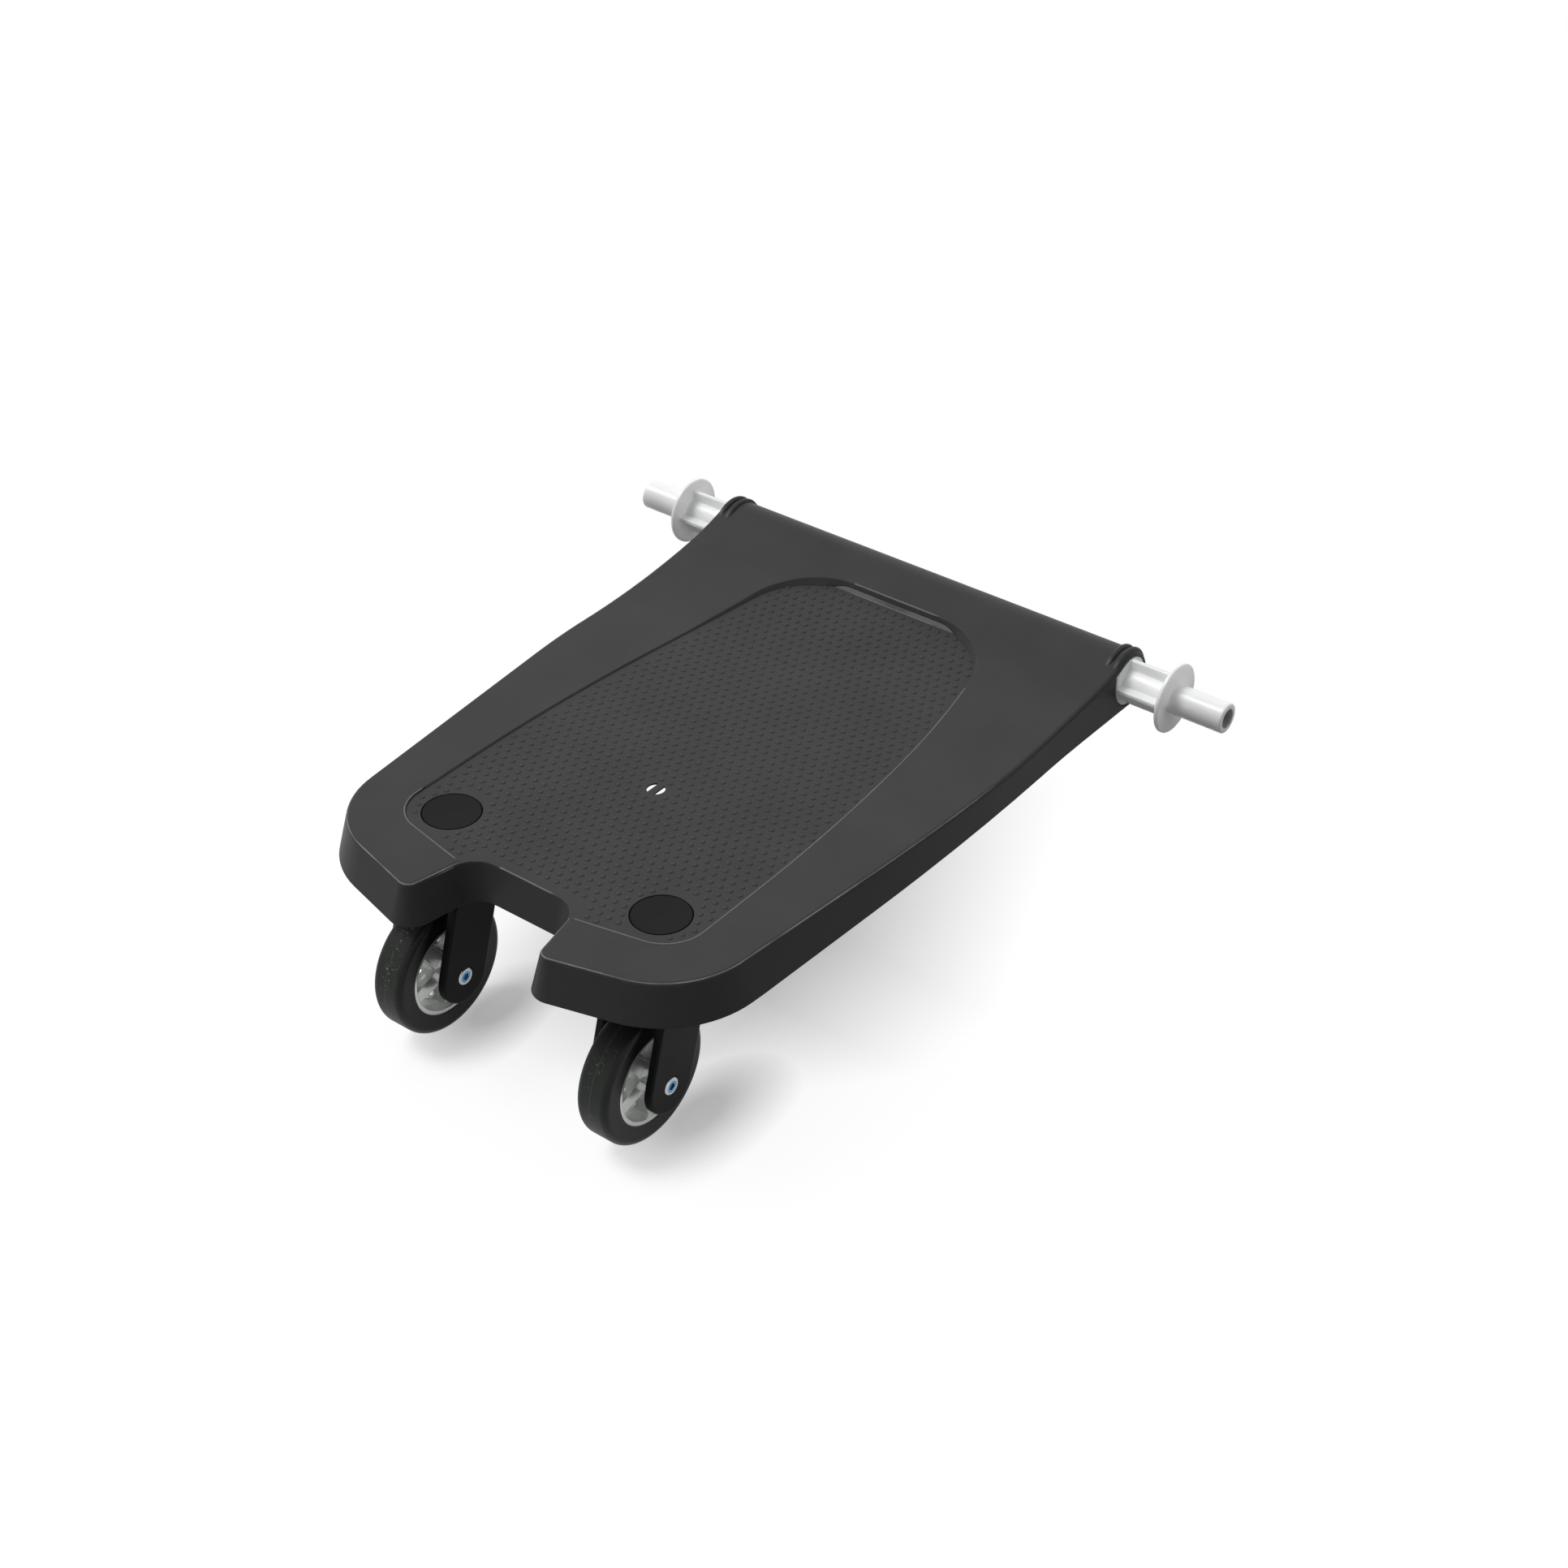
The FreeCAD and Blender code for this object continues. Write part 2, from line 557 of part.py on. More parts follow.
def side_solid(name, edges):
    """A side outline carried right across the board."""
    sketch = place(outline_sketch(name + "_outline", edges, SIDE_ON), y=SWIVEL_Y, z=TREAD_Z)
    return extrusion(name, sketch, "2 * (dims.front_half + dims.overrun)")


def channel_solid(name, radius, length, x="0", symmetric=True):
    sketch = place(outline_sketch(name + "_section", channel_edges(radius), SIDE_ON), x=x, y=PIN_Y, z=PIN_Z)
    return extrusion(name, sketch, length, symmetric)


def across(name, radius, length, x, y=PIN_Y, z=PIN_Z):
    """A cylinder along X from a start, by expressions."""
    solid = bind(doc.addObject("Part::Cylinder", name), Radius=radius, Height=length)
    solid.Placement = Placement(Vector(0, 0, 0), Rotation(Vector(0, 1, 0), math.degrees(math.pi / 2)))
    return place(solid, x, y, z)


def screw_places():
    """Expressions for the cover screws along X."""
    count = int(v.screw_count)
    return ["dims.screw_pitch * %s" % (i - (count - 1) / 2) for i in range(count)]


SCREW_Y = "(%s - dims.channel_radius - dims.channel_wall - dims.cover_flange / 2)" % PIN_Y
COVER_TOP_Z = "(%s - dims.front_wall_foot - dims.part_gap)" % PIN_Z


def swivel_x(side):
    return "%d * dims.caster_spacing / 2" % side


def deck_stiffeners():
    """Ribs, caster bosses, gussets and screw bosses, which the hollow under the deck goes round."""
    pieces = []
    rib_foot = "dims.tread_height - dims.skin - dims.rib_depth"
    height = "dims.rib_depth + dims.skin + dims.roll_radius"
    for number, share in enumerate(RIB_ROW_SHARES):
        name = "rib_row_%d" % number
        middle = "%s + %s * dims.swivel_to_pin - dims.rib_wall / 2" % (SWIVEL_Y, share)
        pieces.append(box(name, "2 * dims.front_half", "dims.rib_wall", height, "-dims.front_half", middle,
                          rib_foot))
    for side_name, side in SIDES:
        for number, share in enumerate(RIB_COLUMN_SHARES):
            name = "rib_column_%s_%d" % (side_name, number)
            middle = "%s * dims.waist_half - dims.rib_wall / 2" % (side * share)
            rear = SWIVEL_Y + " - dims.prong_back"
            length = "dims.prong_back + dims.swivel_to_pin"
            pieces.append(box(name, "dims.rib_wall", length, height, middle, rear, rib_foot))
        x = swivel_x(side)
        foot = "dims.tread_height - dims.boss_foot"
        pieces.append(rod("caster_boss_" + side_name, "dims.boss_radius", "dims.boss_foot", x, SWIVEL_Y,
                          foot))
        foot = "dims.tread_height - dims.skin - dims.gusset_depth"
        depth = "dims.gusset_depth + dims.skin"
        reach = "2 * dims.gusset_reach"
        thin = "dims.rib_wall"
        pieces.append(box("gusset_across_" + side_name, reach, thin, depth, x + " - dims.gusset_reach",
                          SWIVEL_Y + " - dims.rib_wall / 2", foot))
        pieces.append(box("gusset_along_" + side_name, thin, reach, depth, x + " - dims.rib_wall / 2",
                          SWIVEL_Y + " - dims.gusset_reach", foot))
    for number, x in enumerate(screw_places()):
        foot = PIN_Z + " - dims.front_wall_foot"
        tall = "dims.front_wall_foot + dims.roll_radius"
        pieces.append(rod("screw_boss_%d" % number, "dims.screw_boss_radius", tall, x, SCREW_Y, foot))
    return fuse("deck_stiffeners", pieces)


def upper_rim(solid):
    """Edges where the border, sweep and roll meet the drafted sides, above the pin axis."""
    doc.recompute()
    level = v.tread_height - v.rear_skirt / 2

    def crosswise(face):
        surface = face.Surface
        if isinstance(surface, Part.Plane):
            return abs(surface.Axis.z) > abs(surface.Axis.x) + abs(surface.Axis.y)
        return isinstance(surface, Part.Cylinder) and abs(surface.Axis.x) > abs(surface.Axis.y) + abs(surface.Axis.z)

    found = []
    for number, edge in enumerate(solid.Shape.Edges, start=1):
        faces = solid.Shape.ancestorsOfType(edge, Part.Face)
        kinds = {crosswise(face) for face in faces}
        if kinds == {True, False} and edge.CenterOfMass.z > level:
            found.append((number, v.edge_round, v.edge_round))
    return found


def deck():
    outer = boolean("Common", "deck_outer", deck_block("deck_block", 0, v.overrun), None)
    outer.Tool = side_solid("deck_side", deck_side_edges())
    eased = doc.addObject("Part::Fillet", "deck_eased")
    eased.Base = outer
    eased.Edges = upper_rim(outer)
    trimmed = boolean("Cut", "deck_trimmed", eased, side_solid("below_foot", below_foot_edges()))
    beads = []
    for side_name, side in SIDES:
        for number in range(2):
            bead = doc.addObject("Part::Torus", "bead_%s_%d" % (side_name, number))
            bind(bead, Radius1="dims.roll_radius", Radius2="dims.bead_radius")
            bead.Placement = Placement(Vector(0, 0, 0),
                                       Rotation(Vector(0, 1, 0), math.degrees(math.pi / 2)))
            beads.append(place(bead, "%d * (dims.bead_place - %d * dims.bead_pitch)" % (side, number),
                               PIN_Y, PIN_Z))
    body = fuse("deck_body", [trimmed] + beads)

    hollow = boolean("Common", "deck_hollow", deck_block("hollow_block", v.wall, 2 * v.overrun), None)
    hollow.Tool = side_solid("hollow_side", under_skin_edges(0, v.skin))
    hollow = boolean("Cut", "deck_hollow_round_ribs", hollow, deck_stiffeners())

    spring_seat = fuse("spring_seat", [
        channel_solid("centre_wall", v.channel_radius, "dims.centre_wall"),
        across("centre_spigots", "dims.spigot_radius", "dims.centre_wall + 2 * dims.spigot_length",
               "-dims.centre_wall / 2 - dims.spigot_length"),
    ])
    bore = channel_solid("channel", v.channel_radius, "2 * (dims.front_half + dims.overrun)")
    behind_pin = "dims.channel_radius + dims.channel_wall + dims.cover_flange + dims.part_gap"
    trough = box("trough_space", "2 * dims.mouth_wall_face",
                 behind_pin + " + dims.roll_radius + dims.overrun",
                 "dims.roll_radius + dims.bead_radius - dims.front_wall_foot + dims.overrun",
                 "-dims.mouth_wall_face",
                 "%s - (%s)" % (PIN_Y, behind_pin),
                 PIN_Z + " - dims.roll_radius - dims.bead_radius - dims.overrun")
    open_channel = boolean("Cut", "open_channel", fuse("channel_space", [bore, trough]), spring_seat)

    tread_sketch = place(outline_sketch("tread_outline", rounded(tread_corners())), y=SWIVEL_Y,
                         z=TREAD_Z + " - dims.skin")
    tread = boolean("Common", "tread_space",
                    extrusion("tread_block", tread_sketch, "dims.front_half", False), None)
    tread.Tool = side_solid("tread_side", tread_side_edges())

    anchor_y = SWIVEL_Y + " + dims.anchor_ahead"
    anchor = boolean(
        "Cut", "anchor_hole",
        rod("anchor_round", "dims.anchor_radius", "dims.rear_skirt", "0", anchor_y,
            "dims.tread_height - dims.rear_skirt / 2"),
        box("anchor_bar_space", "dims.anchor_bar", "2 * (dims.anchor_radius + dims.overrun)",
            "dims.rear_skirt",
            "-dims.anchor_bar / 2", anchor_y + " - dims.anchor_radius - dims.overrun",
            "dims.tread_height - dims.rear_skirt / 2"))
    thinned = rod("anchor_recess", "dims.anchor_radius + dims.anchor_land",
                  "dims.skin - dims.anchor_skin + dims.overrun",
                  "0", anchor_y, "dims.tread_height - dims.skin - dims.overrun")
    cuts = [hollow, open_channel, tread, anchor, thinned]
    for side_name, side in SIDES:
        x = swivel_x(side)
        cuts.append(rod("cap_seat_" + side_name, "dims.cap_radius + dims.part_gap",
                        "dims.cap_disc + dims.overrun",
                        x, SWIVEL_Y, "dims.tread_height - dims.cap_disc"))
        cuts.append(rod("boss_cup_" + side_name, "dims.cap_plug_radius + dims.part_gap", "dims.boss_floor",
                        x, SWIVEL_Y, "dims.tread_height - dims.boss_floor"))
        cuts.append(rod("boss_bore_" + side_name, "dims.bush_radius + dims.seat_gap",
                        "dims.boss_foot + dims.overrun",
                        x, SWIVEL_Y, "dims.tread_height - dims.boss_foot - dims.overrun"))
    for number, x in enumerate(screw_places()):
        cuts.append(rod("screw_pilot_%d" % number, "dims.screw_radius + dims.seat_gap",
                        "dims.screw_length + dims.part_gap", x, SCREW_Y,
                        COVER_TOP_Z + " - dims.cover_wall"))
    keep(boolean("Cut", "deck_moulding", body, fuse("deck_cuts", cuts)), "deck")


# Channel cover and its screws

def channel_cover():
    """Trough that closes the channel from below, with a screw flange behind and the plungers' stops inside."""
    inner = v.channel_radius + v.part_gap
    outer = inner + v.cover_wall
    top = -(v.front_wall_foot + v.part_gap)
    inner_half = math.sqrt(inner ** 2 - top ** 2)
    outer_half = math.sqrt(outer ** 2 - top ** 2)
    edges = [
        Part.Arc(Vector(-outer_half, top, 0), Vector(0, -outer, 0), Vector(outer_half, top, 0)),
        Part.LineSegment(Vector(outer_half, top, 0), Vector(inner_half, top, 0)),
        Part.Arc(Vector(inner_half, top, 0), Vector(0, -inner, 0), Vector(-inner_half, top, 0)),
        Part.LineSegment(Vector(-inner_half, top, 0), Vector(-outer_half, top, 0)),
    ]
    half_length = "(dims.mouth_wall_face - dims.part_gap)"
    sketch = place(outline_sketch("cover_section", edges, SIDE_ON), y=PIN_Y, z=PIN_Z)
    trough = extrusion("cover_trough", sketch, "2 * " + half_length)
    flange_reach = "dims.channel_wall + dims.cover_flange - dims.part_gap"
    flange = box("cover_flange_plate", "2 * " + half_length, flange_reach, "dims.cover_wall",
                 "-" + half_length,
                 PIN_Y + " - dims.channel_radius - dims.channel_wall - dims.cover_flange",
                 COVER_TOP_Z + " - dims.cover_wall")
    pieces = [trough, flange]
    stop_floor = PIN_Z + " - dims.channel_radius - dims.part_gap - dims.cover_wall / 2"
    stop_tall = "dims.channel_radius + dims.part_gap + dims.cover_wall / 2 - dims.stop_top"
    near = "dims.tail_plate_face + dims.guide_plate + dims.face_gap"
    for side_name, side in SIDES:
        start = near if side > 0 else "-(%s + dims.stop_length)" % near
        for number, lateral in enumerate((-1, 1)):
            y = "%s + %d * dims.stop_lateral - dims.stop_width / 2" % (PIN_Y, lateral)
            pieces.append(box("stop_%s_%d" % (side_name, number), "dims.stop_length", "dims.stop_width",
                              stop_tall,
                              start, y, stop_floor))
    holes = [rod("cover_hole_%d" % number, "dims.screw_radius + dims.part_gap",
                 "dims.cover_wall + 2 * dims.overrun",
                 x, SCREW_Y, COVER_TOP_Z + " - dims.cover_wall - dims.overrun")
             for number, x in enumerate(screw_places())]
    keep(boolean("Cut", "cover_moulding", fuse("cover_blank", pieces), fuse("cover_holes", holes)),
         "channel_cover")


def cover_screws():
    screws = []
    for number, x in enumerate(screw_places()):
        head_z = COVER_TOP_Z + " - dims.cover_wall - dims.screw_head"
        head = rod("screw_head_%d" % number, "dims.screw_head_radius", "dims.screw_head", x, SCREW_Y,
                   head_z)
        shank = rod("screw_shank_%d" % number, "dims.screw_radius", "dims.screw_head + dims.screw_length",
                    x, SCREW_Y, head_z)
        socket = bind(doc.addObject("Part::Prism", "screw_socket_%d" % number),
                      Circumradius="dims.screw_radius",
                      Height="dims.screw_head / 2 + dims.overrun")
        place(socket, x, SCREW_Y, head_z + " - dims.overrun")
        screws.append(boolean("Cut", "screw_%d" % number, fuse("screw_blank_%d" % number, [head, shank]),
                              socket))
    group = doc.addObject("Part::Compound", "screw_group")
    group.Links = screws
    keep(group, "cover_screws")


# Turned pieces: a half profile of radius and height, spun about the body's own upright axis

def plane_of(body, role):
    return next(feature for feature in body.Origin.OriginFeatures if feature.Role == role)


def turned(name, corners):
    """A body of revolution; a corner is (radius, height) or (radius, height, rounding)."""
    body = doc.addObject("PartDesign::Body", name)
    sketch = body.newObject("Sketcher::SketchObject", name + "_profile")
    sketch.AttachmentSupport = [(plane_of(body, "XZ_Plane"), "")]
    sketch.MapMode = "FlatFace"
    for edge in rounded([(c[0], c[1], c[2] if len(c) > 2 else 0, 0) for c in corners]):
        sketch.addGeometry(edge, False)
    spin = body.newObject("PartDesign::Revolution", name + "_spin")
    spin.Profile = sketch
    spin.ReferenceAxis = (sketch, ["V_Axis"])
    spin.Angle = math.degrees(FULL_TURN)
    body.Tip = spin
    return body


ALONG_X = Rotation(Vector(0, 1, 0), math.degrees(math.pi / 2))


def tube(inner, outer, low, high):
    return [(inner, low), (outer, low), (outer, high), (inner, high)]


def caster_caps():
    disc_foot = -v.cap_disc
    plug_foot = disc_foot - v.cap_plug_depth
    plug_inside = v.cap_plug_radius - v.cap_plug_wall
    for side_name, side in SIDES:
        cap = turned("cap_" + side_name, [
            (0, disc_foot), (plug_inside, disc_foot), (plug_inside, plug_foot),
            (v.cap_plug_radius, plug_foot),
            (v.cap_plug_radius, disc_foot), (v.cap_radius, disc_foot), (v.cap_radius, -v.cap_edge),
            (v.cap_radius - v.cap_edge, 0), (v.cap_radius - 2 * v.cap_edge, 0), (0, -v.cap_dish),
        ])
        keep(place(cap, swivel_x(side), SWIVEL_Y, TREAD_Z), "caster_cap_" + side_name)


def swivel_bushes():
    """Two flanged bushes per caster boss, pushed in from above and below."""
    bore = v.kingpin_radius + v.running_gap
    middle = (v.boss_floor + v.boss_foot) / 2
    for side_name, side in SIDES:
        upper = [(bore, -middle + v.part_gap), (v.bush_radius, -middle + v.part_gap),
                 (v.bush_radius, -v.boss_floor),
                 (v.upper_flange_radius, -v.boss_floor),
                 (v.upper_flange_radius, -v.boss_floor + v.bush_flange),
                 (bore, -v.boss_floor + v.bush_flange)]
        lower = [(bore, -v.boss_foot - v.bush_flange),
                 (v.lower_flange_radius, -v.boss_foot - v.bush_flange),
                 (v.lower_flange_radius, -v.boss_foot), (v.bush_radius, -v.boss_foot),
                 (v.bush_radius, -middle - v.part_gap), (bore, -middle - v.part_gap)]
        for level, corners in (("upper", upper), ("lower", lower)):
            bush = turned("%s_bush_%s" % (level, side_name), corners)
            keep(place(bush, swivel_x(side), SWIVEL_Y, TREAD_Z), "%s_bush_%s" % (level, side_name))


def hexagon(name, flats, thick, bore):
    """A nut's hexagon with its bore, by expressions."""
    corner = "%s / 2 / cos(30 deg)" % flats
    blank = bind(doc.addObject("Part::Prism", name + "_blank"), Circumradius=corner, Height=thick)
    hole = bind(doc.addObject("Part::Cylinder", name + "_bore"), Radius=bore, Height=thick)
    return boolean("Cut", name, blank, hole)


def kingpins():
    """Kingpin with its head under the fork's crown, and the washer and nut that hold it in the boss."""
    shoulder = v.tread_height - v.boss_floor + v.bush_flange + v.face_gap
    head_foot = 2 * v.wheel_radius + v.hood_gap
    top = shoulder + v.washer_thick + v.kingpin_nut_thick + v.kingpin_spare
    for side_name, side in SIDES:
        pin = turned("kingpin_body_" + side_name, [
            (0, head_foot), (v.kingpin_head_radius, head_foot),
            (v.kingpin_head_radius, head_foot + v.kingpin_head),
            (v.kingpin_radius, head_foot + v.kingpin_head), (v.kingpin_radius, shoulder),
            (v.thread_radius, shoulder),
            (v.thread_radius, top), (0, top)])
        keep(place(pin, swivel_x(side), SWIVEL_Y), "kingpin_" + side_name)
        hole = v.thread_radius + v.seat_gap
        washer = turned("washer_body_" + side_name,
                        tube(hole, v.washer_radius, shoulder, shoulder + v.washer_thick))
        keep(place(washer, swivel_x(side), SWIVEL_Y), "kingpin_washer_" + side_name)
        nut = hexagon("kingpin_nut_body_" + side_name, "dims.kingpin_nut_flats", "dims.kingpin_nut_thick",
                      "dims.thread_radius + dims.seat_gap")
        nut_z = "dims.tread_height - dims.boss_floor + dims.bush_flange + dims.face_gap + dims.washer_thick"
        keep(place(nut, swivel_x(side), SWIVEL_Y, nut_z), "kingpin_nut_" + side_name)


# Casters

AXLE_Y = "(%s - dims.trail)" % SWIVEL_Y
AXLE_Z = "dims.wheel_radius"


def leg_corners():
    """Fork leg from the side, from the swivel axis and the floor: square shoulders on a round foot."""
    axle = Vector(-v.trail, v.wheel_radius, 0)
    floor = axle.y - v.leg_round
    tops = (Vector(-v.leg_rear, v.leg_top, 0), Vector(v.leg_front, v.leg_top, 0))
    feet = []
    for top, turn in zip(tops, (1, -1)):
        touch = tangent_touch(axle, v.leg_round, top, turn)
        share = (floor - top.y) / (touch.y - top.y)
        feet.append(top + (touch - top) * share)
    return [
        (tops[0].x, tops[0].y, v.leg_corner, 0), (feet[0].x, feet[0].y, v.leg_round, 0),
        (feet[1].x, feet[1].y, v.leg_round, 0), (tops[1].x, tops[1].y, v.leg_corner, 0),
    ]


def face_rim(slab, outward):
    """Edges round the face of a leg that looks outwards along X."""
    doc.recompute()
    face = max(slab.Shape.Faces, key=lambda one: outward * one.CenterOfMass.x)
    return [(number, v.leg_edge, v.leg_edge) for number, edge in enumerate(slab.Shape.Edges, start=1)
            if any(edge.isSame(other) for other in face.Edges)]


def forks():
    """Fork: two legs under a hood, with a swivel boss on webs above it."""
    leg_inside = "(dims.leg_outside - dims.leg_wall)"
    hood_foot = "(2 * dims.wheel_radius + dims.hood_gap)"
    crown_top = "(dims.tread_height - dims.boss_foot - dims.bush_flange - dims.face_gap)"
    for side_name, side in SIDES:
        x = swivel_x(side)
        pieces = []
        for leg, start in (("outer", leg_inside), ("inner", "-dims.leg_outside")):
            name = "leg_%s_%s" % (leg, side_name)
            sketch = place(outline_sketch(name + "_outline", rounded(leg_corners()), SIDE_ON),
                           x + " + " + start, SWIVEL_Y)
            slab = extrusion(name, sketch, "dims.leg_wall", False)
            eased = doc.addObject("Part::Fillet", name + "_eased")
            eased.Base = slab
            eased.Edges = face_rim(slab, 1 if leg == "outer" else -1)
            pieces.append(eased)
        length = "dims.leg_rear + dims.leg_front - 2 * dims.leg_corner"
        rear = SWIVEL_Y + " - dims.leg_rear + dims.leg_corner"
        pieces.append(box("hood_" + side_name, "2 * dims.leg_outside - dims.leg_wall", length,
                          "dims.hood_wall",
                          x + " - dims.leg_outside + dims.leg_wall / 2", rear, hood_foot))
        pieces.append(rod("crown_" + side_name, "dims.crown_radius", crown_top + " - " + hood_foot, x,
                          SWIVEL_Y, hood_foot))
        pieces.append(box("crown_web_across_" + side_name, "2 * dims.leg_outside - dims.leg_wall",
                          "dims.crown_web",
                          "dims.leg_top - " + hood_foot, x + " - dims.leg_outside + dims.leg_wall / 2",
                          SWIVEL_Y + " - dims.crown_web / 2", hood_foot))
        pieces.append(box("crown_web_behind_" + side_name, "dims.crown_web",
                          "dims.leg_rear - dims.leg_corner",
                          "dims.leg_top - " + hood_foot, x + " - dims.crown_web / 2", rear, hood_foot))
        cuts = [
            rod("kingpin_bore_" + side_name, "dims.kingpin_radius + dims.seat_gap",
                crown_top + " - " + hood_foot + " + 2 * dims.overrun", x, SWIVEL_Y,
                hood_foot + " - dims.overrun"),
            rod("kingpin_head_seat_" + side_name, "dims.kingpin_head_radius + dims.part_gap",
                "dims.kingpin_head + dims.overrun", x, SWIVEL_Y, hood_foot + " - dims.overrun"),
            across("axle_bore_" + side_name, "dims.axle_radius + dims.seat_gap",
                   "2 * (dims.leg_outside + dims.overrun)",
                   x + " - dims.leg_outside - dims.overrun", AXLE_Y, AXLE_Z),
            across("axle_head_seat_" + side_name, "dims.axle_head_radius + dims.part_gap",
                   "dims.axle_head + dims.overrun",
                   x + " + dims.leg_outside + dims.axle_head_proud - dims.axle_head", AXLE_Y, AXLE_Z),
        ]
        pocket = bind(doc.addObject("Part::Prism", "axle_nut_pocket_" + side_name),
                      Height="dims.axle_nut_sink + dims.overrun",
                      Circumradius="(dims.axle_nut_flats / 2 + dims.part_gap) / cos(30 deg)")
        pocket.Placement = Placement(Vector(0, 0, 0), ALONG_X)
        cuts.append(place(pocket, x + " - dims.leg_outside - dims.overrun", AXLE_Y, AXLE_Z))
        keep(boolean("Cut", "fork_body_" + side_name, fuse("fork_blank_" + side_name, pieces),
                     fuse("fork_cuts_" + side_name, cuts)), "fork_" + side_name)


def on_axle(thing, side, x="0"):
    """Lay a turned piece along the wheel axle of one caster."""
    thing.Placement = Placement(Vector(0, 0, 0), ALONG_X)
    return place(thing, swivel_x(side) + " + " + x, AXLE_Y, AXLE_Z)


def axles():
    """Axle bolt, the sleeve that it clamps between the legs, and its nut."""
    leg_inside = v.leg_outside - v.leg_wall
    head_top = v.leg_outside + v.axle_head_proud
    head_foot = head_top - v.axle_head
    nut_face = -(v.leg_outside - v.axle_nut_sink)
    tail = nut_face - v.axle_nut_thick - v.axle_spare
    for side_name, side in SIDES:
        bolt = turned("axle_bolt_body_" + side_name, [
            (0, tail), (v.axle_radius, tail), (v.axle_radius, head_foot), (v.axle_head_radius, head_foot),
            (v.axle_head_radius, head_top, v.axle_head_dome), (0, head_top)])
        socket = bind(doc.addObject("Part::Prism", "axle_socket_" + side_name),
                      Circumradius="dims.axle_socket_flats / 2 / cos(30 deg)",
                      Height="dims.axle_socket_depth + dims.overrun")
        on_axle(socket, side, "dims.leg_outside + dims.axle_head_proud - dims.axle_socket_depth")
        keep(boolean("Cut", "axle_bolt_cut_" + side_name, on_axle(bolt, side), socket),
             "axle_bolt_" + side_name)
        sleeve = turned("axle_sleeve_body_" + side_name,
                        tube(v.axle_radius + v.seat_gap, v.sleeve_radius, -leg_inside, leg_inside))
        keep(on_axle(sleeve, side), "axle_sleeve_" + side_name)
        nut = hexagon("axle_nut_body_" + side_name, "dims.axle_nut_flats", "dims.axle_nut_thick",
                      "dims.axle_radius + dims.seat_gap")
        keep(on_axle(nut, side, "-(dims.leg_outside - dims.axle_nut_sink + dims.axle_nut_thick)"),
             "axle_nut_" + side_name)


def hub(side_name, side):
    """Hub: rim, web and boss in one turning, with spokes across the web and windows through it."""
    half_rim = v.rim_width / 2
    half_web = v.web_wall / 2
    half_key = v.key_width / 2
    rim_inside = v.rim_radius - v.rim_wall
    bore = v.wheel_bush_radius + v.seat_gap
    body = turned("hub_body_" + side_name, [
        (bore, -v.hub_boss_half), (v.hub_boss_radius, -v.hub_boss_half), (v.hub_boss_radius, -half_web),
        (rim_inside, -half_web), (rim_inside, -half_rim), (v.rim_radius, -half_rim),
        (v.rim_radius, -half_key),
        (v.rim_radius + v.key_height, -half_key), (v.rim_radius + v.key_height, half_key),
        (v.rim_radius, half_key),
        (v.rim_radius, half_rim), (rim_inside, half_rim), (rim_inside, half_web),
        (v.hub_boss_radius, half_web),
        (v.hub_boss_radius, v.hub_boss_half), (bore, v.hub_boss_half)])
    middle_plane = plane_of(body, "XY_Plane")
    count = int(v.spoke_count)

    def flat_sketch(name, corners):
        sketch = body.newObject("Sketcher::SketchObject", name + "_" + side_name)
        sketch.AttachmentSupport = [(middle_plane, "")]
        sketch.MapMode = "FlatFace"
        for edge in rounded(corners):
            sketch.addGeometry(edge, False)
        return sketch

    def around(feature, name):
        pattern = body.newObject("PartDesign::PolarPattern", name + "_" + side_name)
        pattern.Originals = [feature]
        pattern.Axis = (plane_of(body, "Z_Axis"), [""])
        pattern.Angle = math.degrees(FULL_TURN)
        bind(pattern, Occurrences="dims.spoke_count")
        body.Tip = pattern
        return pattern

    inner = (bore + v.hub_boss_radius) / 2
    outer = v.rim_radius - v.rim_wall / 2
    spoke = body.newObject("PartDesign::Pad", "spoke_" + side_name)
    spoke.Profile = flat_sketch("spoke_outline", [
        (inner, -v.spoke_width_inner / 2, 0, 0), (outer, -v.spoke_width / 2, 0, 0),
        (outer, v.spoke_width / 2, 0, 0), (inner, v.spoke_width_inner / 2, 0, 0)])
    spoke.Midplane = True
    bind(spoke, Length="2 * dims.spoke_half")
    around(spoke, "spokes")
    doc.recompute()
    before = body.Shape.Volume
    step = FULL_TURN / count / 2
    corners = []
    for radius, width in ((v.window_inner, v.spoke_width_inner), (v.window_outer, v.spoke_width)):
        spread = step - math.asin(width / 2 / radius) - v.window_round / radius
        corners.append((radius, spread))
    points = [(corners[0][0], -corners[0][1]), (corners[1][0], -corners[1][1]),
              (corners[1][0], corners[1][1]), (corners[0][0], corners[0][1])]
    window = body.newObject("PartDesign::Pocket", "window_" + side_name)
    window.Profile = flat_sketch("window_outline", [
        (radius * math.cos(step + angle), radius * math.sin(step + angle), v.window_round, 0)
        for radius, angle in points])
    window.Midplane = True
    window.Type = "Length"
    bind(window, Length="2 * dims.spoke_half")
    around(window, "windows")
    doc.recompute()
    if not body.Shape.Volume < before:
        raise RuntimeError("the hub windows cut nothing")
    keep(on_axle(body, side), "hub_" + side_name)


